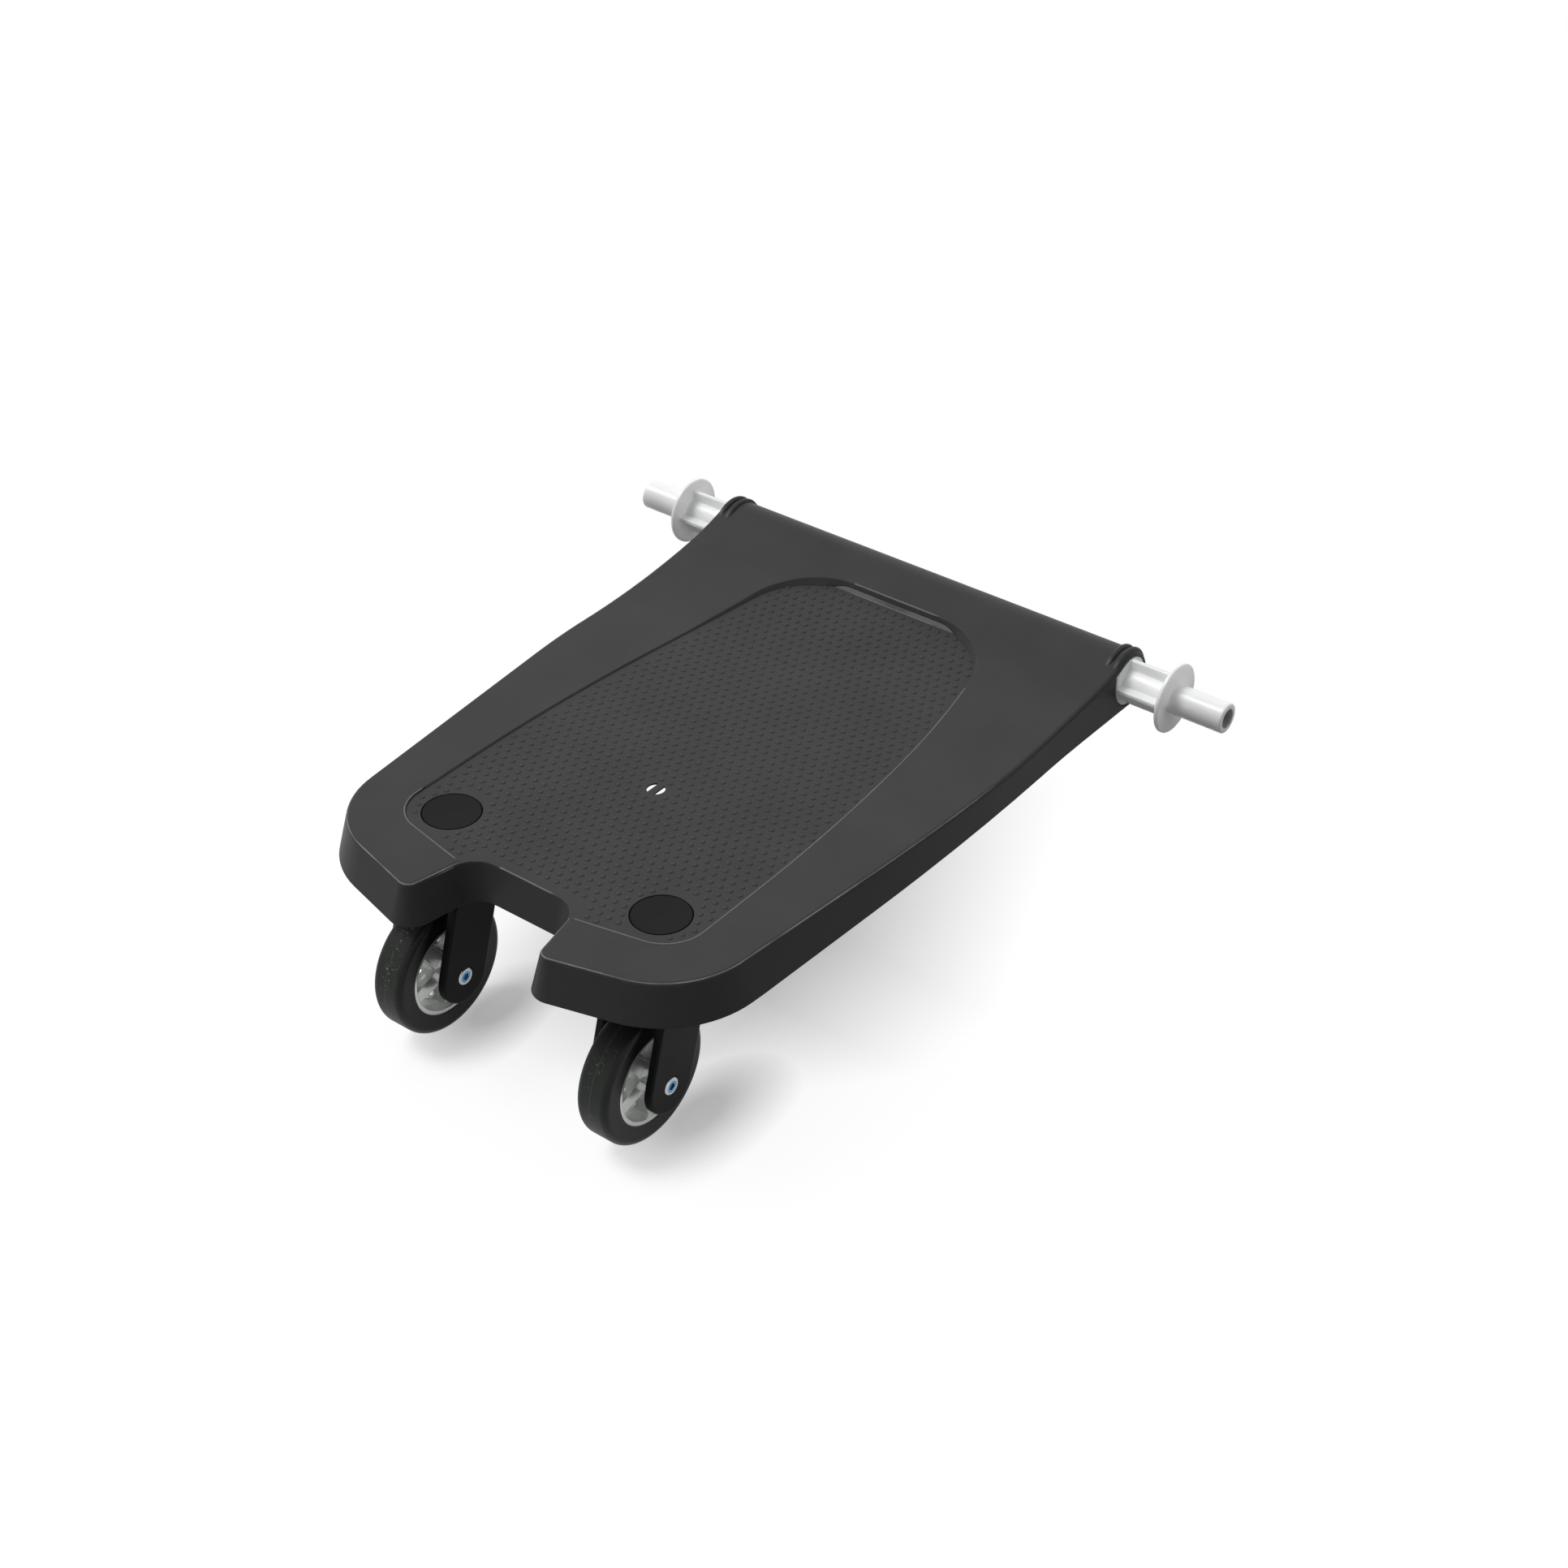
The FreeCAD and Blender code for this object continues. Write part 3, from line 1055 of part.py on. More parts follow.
def wheels():
    half = v.tyre_width / 2
    half_key = (v.key_width / 2 + v.seat_gap)
    seat = v.rim_radius + v.seat_gap
    groove = seat + v.key_height
    flange_low = v.hub_boss_half
    for side_name, side in SIDES:
        hub(side_name, side)
        tyre = turned("tyre_body_" + side_name, [
            (seat, -half), (v.wheel_radius, -half, v.tyre_shoulder),
            (v.wheel_radius, half, v.tyre_shoulder), (seat, half),
            (seat, half_key), (groove, half_key), (groove, -half_key), (seat, -half_key)])
        keep(on_axle(tyre, side), "tyre_" + side_name)
        bushes = []
        for end, way in (("inner", -1), ("outer", 1)):
            bore = v.sleeve_radius + v.running_gap
            corners = [(bore, flange_low - v.wheel_bush_length),
                       (v.wheel_bush_radius, flange_low - v.wheel_bush_length),
                       (v.wheel_bush_radius, flange_low), (v.wheel_bush_flange_radius, flange_low),
                       (v.wheel_bush_flange_radius, flange_low + v.wheel_bush_flange),
                       (bore, flange_low + v.wheel_bush_flange)]
            flipped = [(r, way * h) for r, h in corners][::way]
            bushes.append(on_axle(turned("wheel_bush_%s_%s" % (end, side_name), flipped), side))
        group = doc.addObject("Part::Compound", "wheel_bush_group_" + side_name)
        group.Links = bushes
        keep(group, "wheel_bushes_" + side_name)


# Pin plungers and their springs

def plungers():
    """Ribbed slide keyed to the channel, with a finger flange and the round pin in front of it."""
    flange_back = v.finger_flange_face - v.finger_flange
    tail = v.tail_plate_face - v.spigot_length
    edge = v.finger_flange / 4
    core = turned("plunger_core", [
        (0, tail), (v.spigot_radius, tail), (v.spigot_radius, v.tail_plate_face),
        (v.core_radius, v.tail_plate_face),
        (v.core_radius, flange_back), (v.finger_flange_radius, flange_back, edge),
        (v.finger_flange_radius, v.finger_flange_face, edge), (v.pin_radius, v.finger_flange_face),
        (v.pin_radius, v.pin_tip, v.pin_chamfer), (v.pin_bore, v.pin_tip),
        (v.pin_bore, v.pin_tip - v.pin_bore_depth),
        (0, v.pin_tip - v.pin_bore_depth)])
    core.Placement = Placement(Vector(0, 0, 0), ALONG_X)
    place(core, "0", PIN_Y, PIN_Z)
    guide_radius = v.channel_radius - v.slide_gap
    guided = "dims.finger_flange_face - dims.finger_flange / 2 - dims.tail_plate_face"
    envelope = channel_solid("guide_envelope", guide_radius, guided, "dims.tail_plate_face", False)
    wide = "2 * dims.channel_radius"
    fins = fuse("fins", [
        box("fin_upright", guided, "dims.fin_wall", wide, "dims.tail_plate_face",
            PIN_Y + " - dims.fin_wall / 2",
            PIN_Z + " - dims.channel_radius"),
        box("fin_level", guided, wide, "dims.fin_wall", "dims.tail_plate_face",
            PIN_Y + " - dims.channel_radius",
            PIN_Z + " - dims.fin_wall / 2")])
    ribs = boolean("Common", "guide_fins", envelope, fins)
    tail_plate = channel_solid("tail_plate", guide_radius, "dims.guide_plate", "dims.tail_plate_face",
                               False)
    mouth_plate = channel_solid("mouth_plate", guide_radius, "dims.guide_plate",
                                "dims.mouth_plate_face - dims.guide_plate", False)
    right = keep(fuse("plunger", [core, ribs, tail_plate, mouth_plate]), "pin_plunger_right")
    left = doc.addObject("Part::Mirroring", "plunger_mirrored")
    left.Source = right
    left.Normal = Vector(1, 0, 0)
    keep(left, "pin_plunger_left")


def biarc(start, start_way, end, end_way):
    """Two arcs that join two points and keep the direction at both."""
    span = end - start
    both = span.dot(start_way + end_way)
    bend = 2 * (1 - start_way.dot(end_way))
    reach = (math.sqrt(both ** 2 + bend * span.dot(span)) - both) / bend
    joint = (start + start_way * reach + end - end_way * reach) * 0.5
    arcs = []
    for first, control, last in ((start, start + start_way * reach, joint),
                                 (joint, end - end_way * reach, end)):
        half_turn = (control - first).getAngle(last - control) / 2
        chord_middle = (first + last) * 0.5
        rise_share = math.cos(half_turn) * math.tan(half_turn / 2) / math.sin(half_turn)
        arcs.append(Part.Arc(first, chord_middle + (control - chord_middle) * rise_share, last))
    return arcs


def springs():
    """Coil springs between the channel's centre wall and the plungers' tail plates."""
    start = v.centre_wall / 2 + v.face_gap + v.spring_wire / 2
    end = v.tail_plate_face - v.face_gap - v.spring_wire / 2
    quarters = 4 * int(v.spring_turns)
    pin_y = v.swivel_y + v.swivel_to_pin
    pin_z = v.tread_height + v.pin_rise
    pitch = (end - start) / v.spring_turns
    for side_name, side in SIDES:
        def point(quarter):
            angle = quarter / 4 * FULL_TURN
            x = side * (start + pitch * quarter / 4)
            return Vector(x, pin_y + v.spring_mean_radius * math.cos(angle),
                          pin_z + v.spring_mean_radius * math.sin(angle))

        def way(quarter):
            angle = quarter / 4 * FULL_TURN
            around = v.spring_mean_radius * FULL_TURN
            return Vector(side * pitch, -around * math.sin(angle), around * math.cos(angle)).normalize()

        arcs = []
        for quarter in range(quarters):
            arcs += biarc(point(quarter), way(quarter), point(quarter + 1), way(quarter + 1))
        path = Part.Wire([arc.toShape() for arc in arcs])
        ring = Part.Wire([Part.Circle(point(0), way(0), v.spring_wire / 2).toShape()])
        coil = doc.addObject("Part::Feature", "spring_" + side_name)
        coil.Shape = path.makePipeShell([ring], True, False)
        fine = [point(step / 6) for step in range(quarters * 6)]
        nearest = min((a - b).Length for i, a in enumerate(fine) for b in fine[i + 12:])
        print("spring %s: least gap between turns %.2f mm" % (side_name, nearest - v.spring_wire))
        keep(coil, "plunger_spring_" + side_name)


deck()
channel_cover()
cover_screws()
caster_caps()
swivel_bushes()
kingpins()
forks()
axles()
wheels()
plungers()
springs()
doc.recompute()

for thing in doc.Objects:
    if "Invalid" in thing.State or "Error" in thing.State:
        raise RuntimeError("%s failed: %s" % (thing.Name, thing.State))
for thing in subparts:
    if thing.Shape.isNull() or not thing.Shape.isValid():
        raise RuntimeError("%s has no valid shape" % thing.Label)

os.makedirs("parts", exist_ok=True)
for thing in subparts:
    thing.Shape.exportStep("parts/%s.step" % thing.Label)
    print("%-24s %2d solid %9.0f mm3" % (thing.Label, len(thing.Shape.Solids), thing.Shape.Volume))
whole = Part.makeCompound([thing.Shape for thing in subparts]).optimalBoundingBox(False)
print("board %.1f by %.1f by %.1f mm" % (whole.XLength, whole.YLength, whole.ZLength))
print("swivel axes y %.4f, pin axis y %.4f z %.4f, tread z %.4f, roll half %.4f" % (
    v.swivel_y, v.swivel_y + v.swivel_to_pin, v.tread_height + v.pin_rise, v.tread_height, v.roll_half))
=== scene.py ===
# %% [markdown]
# # Dressing a buggy board
#
# A buggy board is a small platform that hooks on behind a pushchair, so that an older child can
# ride along. The solid model already gives every piece its true shape and place, in metres, with
# +Y towards the pushchair. This lesson adds what a solid model leaves out: moulded plastic with
# grain and worn edges, milky nylon, dusty rubber, zinc plated bolts, and the field of small dots
# that keeps shoes from slipping.

# %% Load the solid model
import json
import math

import bpy
import numpy as np
from mathutils import Matrix, Vector


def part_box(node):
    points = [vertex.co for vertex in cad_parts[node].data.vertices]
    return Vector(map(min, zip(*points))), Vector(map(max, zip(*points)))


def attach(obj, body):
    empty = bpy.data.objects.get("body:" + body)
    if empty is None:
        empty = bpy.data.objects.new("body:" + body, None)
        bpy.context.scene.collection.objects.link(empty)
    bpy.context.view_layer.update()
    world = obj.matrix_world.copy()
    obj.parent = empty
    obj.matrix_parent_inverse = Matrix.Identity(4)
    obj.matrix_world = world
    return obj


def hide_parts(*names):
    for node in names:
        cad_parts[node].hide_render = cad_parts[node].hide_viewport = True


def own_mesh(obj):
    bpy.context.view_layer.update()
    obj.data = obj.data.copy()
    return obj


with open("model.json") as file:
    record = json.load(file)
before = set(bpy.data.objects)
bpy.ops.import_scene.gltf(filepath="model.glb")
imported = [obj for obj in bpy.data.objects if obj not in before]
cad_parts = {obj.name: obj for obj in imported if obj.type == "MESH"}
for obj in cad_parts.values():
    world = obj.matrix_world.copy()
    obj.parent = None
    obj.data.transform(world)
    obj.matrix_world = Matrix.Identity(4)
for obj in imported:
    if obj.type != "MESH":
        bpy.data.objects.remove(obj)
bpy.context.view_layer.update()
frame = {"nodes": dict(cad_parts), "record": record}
NODES = frame["nodes"]


# %% [markdown]
# Places on the tread are measured from two things: the line through the two caster swivels, and
# the top of the sunken tread. The axle line, the pins' axis and the strap anchor place the rest.
# All of them are read from the record of the solid model.

# %% Places that everything is measured from
MM = 0.001
SIDES = ("left", "right")
JOINTS = {joint["name"]: joint for joint in frame["record"]["behaviour"]["joints"]}
MOUNTS = {mount["name"]: mount for mount in frame["record"]["mounts"]}
SWIVEL_X, SWIVEL_Y = JOINTS["right_swivel"]["pos_m"][:2]
AXLE_Y, AXLE_Z = JOINTS["right_wheel_spin"]["pos_m"][1:]
PIN_Y, PIN_Z = MOUNTS["right_pin"]["pos_m"][1:]
TREAD_Z = MOUNTS["standing_tread"]["pos_m"][2]
ANCHOR_Y = MOUNTS["strap_anchor"]["pos_m"][1]
print("swivel axes at y", SWIVEL_Y, "and tread at z", TREAD_Z)

# %% [markdown]
# ## Small helpers for shader nodes
#
# A material is a graph of nodes. Building one in code is mostly two acts: add a node and set its
# sockets, then join sockets. A helper for each keeps the recipes below short enough to read as
# recipes.


# %% Node helpers
def add(tree, kind, label="", **settings):
    """A node of one kind; settings are its properties, such as operation or data_type."""
    node = tree.nodes.new(kind)
    node.label = label
    for name, value in settings.items():
        setattr(node, name, value)
    return node


def feed(tree, socket, value):
    """Give an input socket a plain value, or join another node's output to it."""
    if isinstance(value, bpy.types.NodeSocket):
        tree.links.new(value, socket)
    else:
        socket.default_value = value


def calculate(tree, operation, *values, clamp=False):
    """The result of one Math node."""
    node = add(tree, "ShaderNodeMath", operation=operation, use_clamp=clamp)
    for socket, value in zip(node.inputs, values):
        feed(tree, socket, value)
    return node.outputs[0]


def spread(tree, value, from_low, from_high, to_low=0.0, to_high=1.0):
    """Map one range of a value onto another, held at both ends."""
    node = add(tree, "ShaderNodeMapRange")
    for socket, number in zip(node.inputs, (value, from_low, from_high, to_low, to_high)):
        feed(tree, socket, number)
    return node.outputs[0]


def tint(tree, amount, plain, other):
    """Mix two colours by a mask."""
    node = add(tree, "ShaderNodeMix", data_type="RGBA", clamp_factor=True)
    feed(tree, node.inputs["Factor"], amount)
    feed(tree, node.inputs[6], plain)
    feed(tree, node.inputs[7], other)
    return node.outputs[2]


def stain(tree, mask, colour):
    """Tint what already feeds a material's base colour."""
    base = tree.nodes["Principled BSDF"].inputs["Base Color"]
    feed(tree, base, tint(tree, mask, base.links[0].from_socket, (*colour, 1)))


print("node helpers ready")

# %% [markdown]
# Grain, seams and stains all depend on where a point lies. A piece's own coordinates do not change
# when it moves, so a pattern made from them stays on the piece.


# %% Helpers for places and noise
def object_place(tree):
    """A point's place in its piece's own coordinates."""
    return add(tree, "ShaderNodeTexCoord").outputs["Object"]


def split(tree, vector):
    """The three components of a vector."""
    node = add(tree, "ShaderNodeSeparateXYZ")
    feed(tree, node.inputs[0], vector)
    return node.outputs["X"], node.outputs["Y"], node.outputs["Z"]


def distance(tree, across, along):
    """Length of a line from its two components at right angles."""
    squares = [calculate(tree, "MULTIPLY", part, part) for part in (across, along)]
    return calculate(tree, "SQRT", calculate(tree, "ADD", *squares))


def beside_caster(tree, across):
    """How far out a place lies from the middle plane of the caster on its side."""
    return calculate(tree, "SUBTRACT", calculate(tree, "ABSOLUTE", across), SWIVEL_X)


def noise(tree, place, scale, detail=2.0, label=""):
    """Soft noise between nought and one; the scale is a number or a socket."""
    node = add(tree, "ShaderNodeTexNoise", label)
    feed(tree, node.inputs["Vector"], place)
    feed(tree, node.inputs["Scale"], scale)
    node.inputs["Detail"].default_value = detail
    return node.outputs[0]


print("place helpers ready")

# %% [markdown]
# An effect that several materials use is kept as a node group. It is built once, with named
# sockets, and each material that places it gives it its own values.

# %% Helpers for node groups
FLOAT, VECTOR = "NodeSocketFloat", "NodeSocketVector"


def new_group(name, inputs, outputs):
    """A shader node group with named sockets; returns its tree, input node and output node."""
    tree = bpy.data.node_groups.new(name, "ShaderNodeTree")
    for label, kind, value in inputs:
        socket = tree.interface.new_socket(label, in_out="INPUT", socket_type=kind)
        socket.default_value = value
    for label, kind in outputs:
        tree.interface.new_socket(label, in_out="OUTPUT", socket_type=kind)
    return tree, tree.nodes.new("NodeGroupInput"), tree.nodes.new("NodeGroupOutput")


def use_group(tree, group, **values):
    """A group node in a material; an underscore in a value's name stands for a space."""
    node = add(tree, "ShaderNodeGroup", node_tree=group)
    for name, value in values.items():
        feed(tree, node.inputs[name.replace("_", " ")], value)
    return node


print("group helpers ready")

# %% [markdown]
# ## Effects that several materials share
#
# Moulded plastic is never one flat colour. The mould's spark grain breaks up the gloss at a scale
# of half a millimetre, and the flow of the melt leaves soft clouds some centimetres wide. Both
# come from noise in the piece's own coordinates, so they stay put when a piece moves. One group
# makes both, and each material sets its own scales.

# %% Group: moulded grain
GRAIN_DETAIL, CLOUD_DETAIL = 3.0, 4.0
CLOUD_CUT = (0.32, 0.68)
grain_group, entry, leave = new_group(
    "moulded_grain",
    [("Grain Scale", FLOAT, 2200.0), ("Cloud Scale", FLOAT, 30.0)],
    [("Height", FLOAT), ("Cloud", FLOAT)])
place = object_place(grain_group)
grain = noise(grain_group, place, entry.outputs["Grain Scale"], GRAIN_DETAIL, "spark grain")
cloud = noise(grain_group, place, entry.outputs["Cloud Scale"], CLOUD_DETAIL, "melt clouds")
feed(grain_group, leave.inputs["Height"], grain)
feed(grain_group, leave.inputs["Cloud"], spread(grain_group, cloud, *CLOUD_CUT))
print("group:", grain_group.name)

# %% [markdown]
# Handling polishes and scuffs the edges first. The Bevel node looks at the surface within a small
# radius, so where its normal differs from the true one there is an edge. The difference is the
# wear mask, and the softened normal itself makes a sharp solid edge catch the light as a moulded
# edge does.

# %% Group: eased edges
BEVEL_SAMPLES = 6
FLAT, SHARP = 0.995, 0.86
WEAR_CUT = (0.35, 0.65)
edge_group, entry, leave = new_group(
    "eased_edges",
    [("Radius", FLOAT, 0.0006), ("Wear Scale", FLOAT, 180.0)],
    [("Normal", VECTOR), ("Wear", FLOAT)])
bevel = add(edge_group, "ShaderNodeBevel", samples=BEVEL_SAMPLES)
feed(edge_group, bevel.inputs["Radius"], entry.outputs["Radius"])
agree = add(edge_group, "ShaderNodeVectorMath", operation="DOT_PRODUCT")
feed(edge_group, agree.inputs[0], bevel.outputs[0])
feed(edge_group, agree.inputs[1], add(edge_group, "ShaderNodeNewGeometry").outputs["Normal"])
edge = spread(edge_group, agree.outputs["Value"], FLAT, SHARP)
patchy = noise(
    edge_group, object_place(edge_group), entry.outputs["Wear Scale"], label="patchy wear")
wear = calculate(edge_group, "MULTIPLY", edge, spread(edge_group, patchy, *WEAR_CUT))
feed(edge_group, leave.inputs["Wear"], wear)
feed(edge_group, leave.inputs["Normal"], bevel.outputs[0])
print("group:", edge_group.name)

# %% [markdown]
# The deck's upper rim is rounded already, so the Bevel node finds little there. A thin pale line
# is painted where the rounding leans over about forty degrees: a painted highlight, for the glint
# of the lamp on the rim. How far the normal leans picks that line out. On the sides it fades out
# towards the front. A slope that faces rearwards, such as the bevel at the tread's front, keeps a
# weaker painted highlight.

# %% Group: painted rim highlight
BEVEL_HIGHLIGHT = 0.4
REARWARD = (-0.38, -0.55)
HIGHLIGHT_PATCHES = 45.0
HIGHLIGHT_CUT = (0.30, 0.60)
HIGHLIGHT_FAINTEST = 0.35
rim_highlight_group, entry, leave = new_group(
    "rubbed_rim",
    [("Lean", FLOAT, 0.76), ("Width", FLOAT, 0.13),
     ("Rear End", FLOAT, 0.02), ("Front End", FLOAT, 0.06)],
    [("Mask", FLOAT)])
facing = split(rim_highlight_group, add(rim_highlight_group, "ShaderNodeNewGeometry").outputs["Normal"])
miss = calculate(
    rim_highlight_group, "ABSOLUTE", calculate(rim_highlight_group, "SUBTRACT", facing[2], entry.outputs["Lean"]))
line = spread(rim_highlight_group, miss, entry.outputs["Width"], 0.0)
place = object_place(rim_highlight_group)
behind = spread(
    rim_highlight_group, split(rim_highlight_group, place)[1], entry.outputs["Front End"], entry.outputs["Rear End"])
rearward = spread(rim_highlight_group, facing[1], *REARWARD, 0.0, BEVEL_HIGHLIGHT)
broken = spread(rim_highlight_group, noise(rim_highlight_group, place, HIGHLIGHT_PATCHES), *HIGHLIGHT_CUT, HIGHLIGHT_FAINTEST, 1.0)
# Painted highlight: a pale line where the rim's normal leans towards the lamp.
painted_highlight = calculate(
    rim_highlight_group, "MULTIPLY", line, calculate(rim_highlight_group, "MAXIMUM", behind, rearward))
feed(rim_highlight_group, leave.inputs["Mask"], calculate(rim_highlight_group, "MULTIPLY", painted_highlight, broken))
print("group:", rim_highlight_group.name)

# %% [markdown]
# Dust settles as separate specks in loose patches. A Voronoi texture scatters one point per cell;
# keeping only the cells whose random colour passes a limit, and only near their points, leaves
# specks of different sizes.

# %% Group: dust specks
SPECK_LARGEST = 0.42
SPECK_BLUR = 0.08
DUST_PATCHES = 60.0
DUST_CUT = (0.42, 0.62)
dust_group, entry, leave = new_group(
    "dust_specks",
    [("Speck Scale", FLOAT, 900.0), ("Amount", FLOAT, 0.3)],
    [("Mask", FLOAT)])
place = object_place(dust_group)
cells = add(dust_group, "ShaderNodeTexVoronoi", "specks")
feed(dust_group, cells.inputs["Vector"], place)
feed(dust_group, cells.inputs["Scale"], entry.outputs["Speck Scale"])
chance = add(dust_group, "ShaderNodeSeparateColor")
feed(dust_group, chance.inputs[0], cells.outputs["Color"])
kept = calculate(dust_group, "LESS_THAN", chance.outputs[0], entry.outputs["Amount"])
size = calculate(dust_group, "MULTIPLY", chance.outputs[1], SPECK_LARGEST)
beyond = calculate(dust_group, "SUBTRACT", cells.outputs["Distance"], size)
specks = calculate(
    dust_group, "MULTIPLY", kept, spread(dust_group, beyond, SPECK_BLUR, -SPECK_BLUR))
patches = spread(dust_group, noise(dust_group, place, DUST_PATCHES), *DUST_CUT)
feed(dust_group, leave.inputs["Mask"], calculate(dust_group, "MULTIPLY", specks, patches))
print("group:", dust_group.name)

# %% [markdown]
# ## Plastics
#
# The deck, caps, forks, hubs, pins and bushes are all moulded plastic, so one recipe serves them.
# What differs is the colour, how dull the mould was, how coarse its grain is and how far the edges
# are rounded. Plain numbers go straight onto the shader's sockets; only what varies over the
# surface is linked.


# %% Recipe for moulded plastic
def plastic(name, colour, pale, edge_colour, *, rough, rough_range, grain_scale, grain_depth,
            cloud_scale, edge_radius, rim_highlight_colour=None, ior=None):
    """Moulded plastic; colours are linear, and the depth and radius are in metres."""
    material = bpy.data.materials.new(name)
    material.use_nodes = True
    tree = material.node_tree
    shader = tree.nodes["Principled BSDF"]
    skin = use_group(tree, grain_group, Grain_Scale=grain_scale, Cloud_Scale=cloud_scale)
    edges = use_group(tree, edge_group, Radius=edge_radius)
    cloud = skin.outputs["Cloud"]
    base = tint(tree, cloud, (*colour, 1), (*pale, 1))
    base = tint(tree, edges.outputs["Wear"], base, (*edge_colour, 1))
    # A painted highlight on the rim, where a colour is given for it.
    if rim_highlight_colour:
        base = tint(tree, use_group(tree, rim_highlight_group).outputs["Mask"], base, (*rim_highlight_colour, 1))
    dull = spread(tree, cloud, 0.0, 1.0, rough - rough_range, rough + rough_range)
    bump = add(tree, "ShaderNodeBump")
    bump.inputs["Strength"].default_value = 1.0
    bump.inputs["Distance"].default_value = grain_depth
    feed(tree, bump.inputs["Height"], skin.outputs["Height"])
    feed(tree, bump.inputs["Normal"], edges.outputs["Normal"])
    feed(tree, shader.inputs["Base Color"], base)
    feed(tree, shader.inputs["Roughness"], dull)
    feed(tree, shader.inputs["Normal"], bump.outputs[0])
    if ior:
        shader.inputs["IOR"].default_value = ior
    return material, shader


print("plastic recipe ready")

# %% [markdown]
# The dark plastics reflect little, so their index of refraction is low. The tread's dots and wall
# are the deck's own plastic without its painted rim highlight. The lips are the same plastic made
# pale, as a painted highlight along their edges. A dark seam runs round each cap, where it sits in
# its seat.

# %% Dark plastics
DULL_IOR = 1.15
DECK_SKIN = {
    "rough": 0.42, "rough_range": 0.05, "grain_scale": 2600.0, "grain_depth": 0.03 * MM,
    "cloud_scale": 22.0, "ior": DULL_IOR}
CAP_SEAM = 15.6 * MM
SEAM_BLUR = 0.3 * MM
SEAM_BLACK = (0.0012, 0.0012, 0.0012)

# The deck's rim colour is a painted highlight along its rounded rim.
deck_plastic, _ = plastic(
    "deck_plastic", (0.044, 0.044, 0.0445), (0.051, 0.051, 0.0515), (0.090, 0.090, 0.092),
    edge_radius=0.8 * MM, rim_highlight_colour=(0.28, 0.28, 0.285), **DECK_SKIN)
tread_plastic, _ = plastic(
    "tread_plastic", (0.044, 0.044, 0.0445), (0.051, 0.051, 0.0515), (0.056, 0.056, 0.0565),
    edge_radius=0.4 * MM, **DECK_SKIN)
# The lip plastic is pale as a painted highlight.
lip_plastic, _ = plastic(
    "lip_plastic", (0.13, 0.13, 0.132), (0.17, 0.17, 0.172), (0.20, 0.20, 0.202),
    rough=0.36, rough_range=0.05, grain_scale=2600.0, grain_depth=0.02 * MM,
    cloud_scale=40.0, edge_radius=0.4 * MM, ior=DULL_IOR)
fork_plastic, _ = plastic(
    "fork_nylon", (0.0070, 0.0070, 0.0075), (0.0100, 0.0100, 0.0105), (0.060, 0.060, 0.062),
    rough=0.40, rough_range=0.06, grain_scale=1800.0, grain_depth=0.02 * MM,
    cloud_scale=50.0, edge_radius=0.9 * MM, ior=DULL_IOR)
cap_plastic, _ = plastic(
    "cap_plastic", (0.0110, 0.0110, 0.0115), (0.0130, 0.0130, 0.0135), (0.030, 0.030, 0.031),
    rough=0.58, rough_range=0.04, grain_scale=3000.0, grain_depth=0.03 * MM,
    cloud_scale=60.0, edge_radius=0.4 * MM, ior=DULL_IOR)
tree = cap_plastic.node_tree
x, y, _ = split(tree, object_place(tree))
from_axis = distance(tree, beside_caster(tree, x), calculate(tree, "SUBTRACT", y, SWIVEL_Y))
stain(tree, spread(tree, from_axis, CAP_SEAM, CAP_SEAM + SEAM_BLUR), SEAM_BLACK)
print("dark plastics made")

# %% [markdown]
# The hubs are pale and glossy, with a bright coat like a metal finish. The bushes are plain nylon.

# %% Pale plastics
hub_plastic, shader = plastic(
    "hub_plastic", (0.80, 0.82, 0.80), (0.84, 0.86, 0.84), (0.90, 0.91, 0.90),
    rough=0.22, rough_range=0.04, grain_scale=1400.0, grain_depth=0.002 * MM,
    cloud_scale=70.0, edge_radius=0.7 * MM)
shader.inputs["Metallic"].default_value = 0.5
shader.inputs["Coat Weight"].default_value = 0.6
shader.inputs["Coat Roughness"].default_value = 0.08
bush_nylon, _ = plastic(
    "bush_nylon", (0.62, 0.62, 0.59), (0.70, 0.70, 0.67), (0.75, 0.75, 0.72),
    rough=0.40, rough_range=0.05, grain_scale=1500.0, grain_depth=0.01 * MM,
    cloud_scale=90.0, edge_radius=0.3 * MM)
print("pale plastics made")

# %% [markdown]
# The hitch pins are natural nylon: white, but milky, because light goes a few millimetres into it
# before it comes out again. Subsurface scattering gives that. A thin disc such as the finger
# flange then glows a little at its rim. The bore in each pin's end is painted grey: painted shade,
# for the shadow inside the hollow.

# %% Milky nylon
PIN_BORE = 5.8 * MM
BORE_EDGE = 0.15 * MM
BORE_SHADE = (0.12, 0.12, 0.10)
pin_nylon, shader = plastic(
    "white_nylon", (0.91, 0.94, 0.93), (0.94, 0.96, 0.95), (0.92, 0.93, 0.93),
    rough=0.33, rough_range=0.05, grain_scale=1500.0, grain_depth=0.01 * MM,
    cloud_scale=70.0, edge_radius=0.5 * MM)
shader.inputs["Subsurface Weight"].default_value = 0.85
shader.inputs["Subsurface Radius"].default_value = (1.0, 1.0, 0.95)
shader.inputs["Subsurface Scale"].default_value = 0.006
tree = pin_nylon.node_tree
_, y, z = split(tree, object_place(tree))
from_axis = distance(
    tree, calculate(tree, "SUBTRACT", y, PIN_Y), calculate(tree, "SUBTRACT", z, PIN_Z))
# Painted shade inside the bore.
stain(tree, spread(tree, from_axis, PIN_BORE + BORE_EDGE, PIN_BORE - BORE_EDGE), BORE_SHADE)
print("milky nylon made")
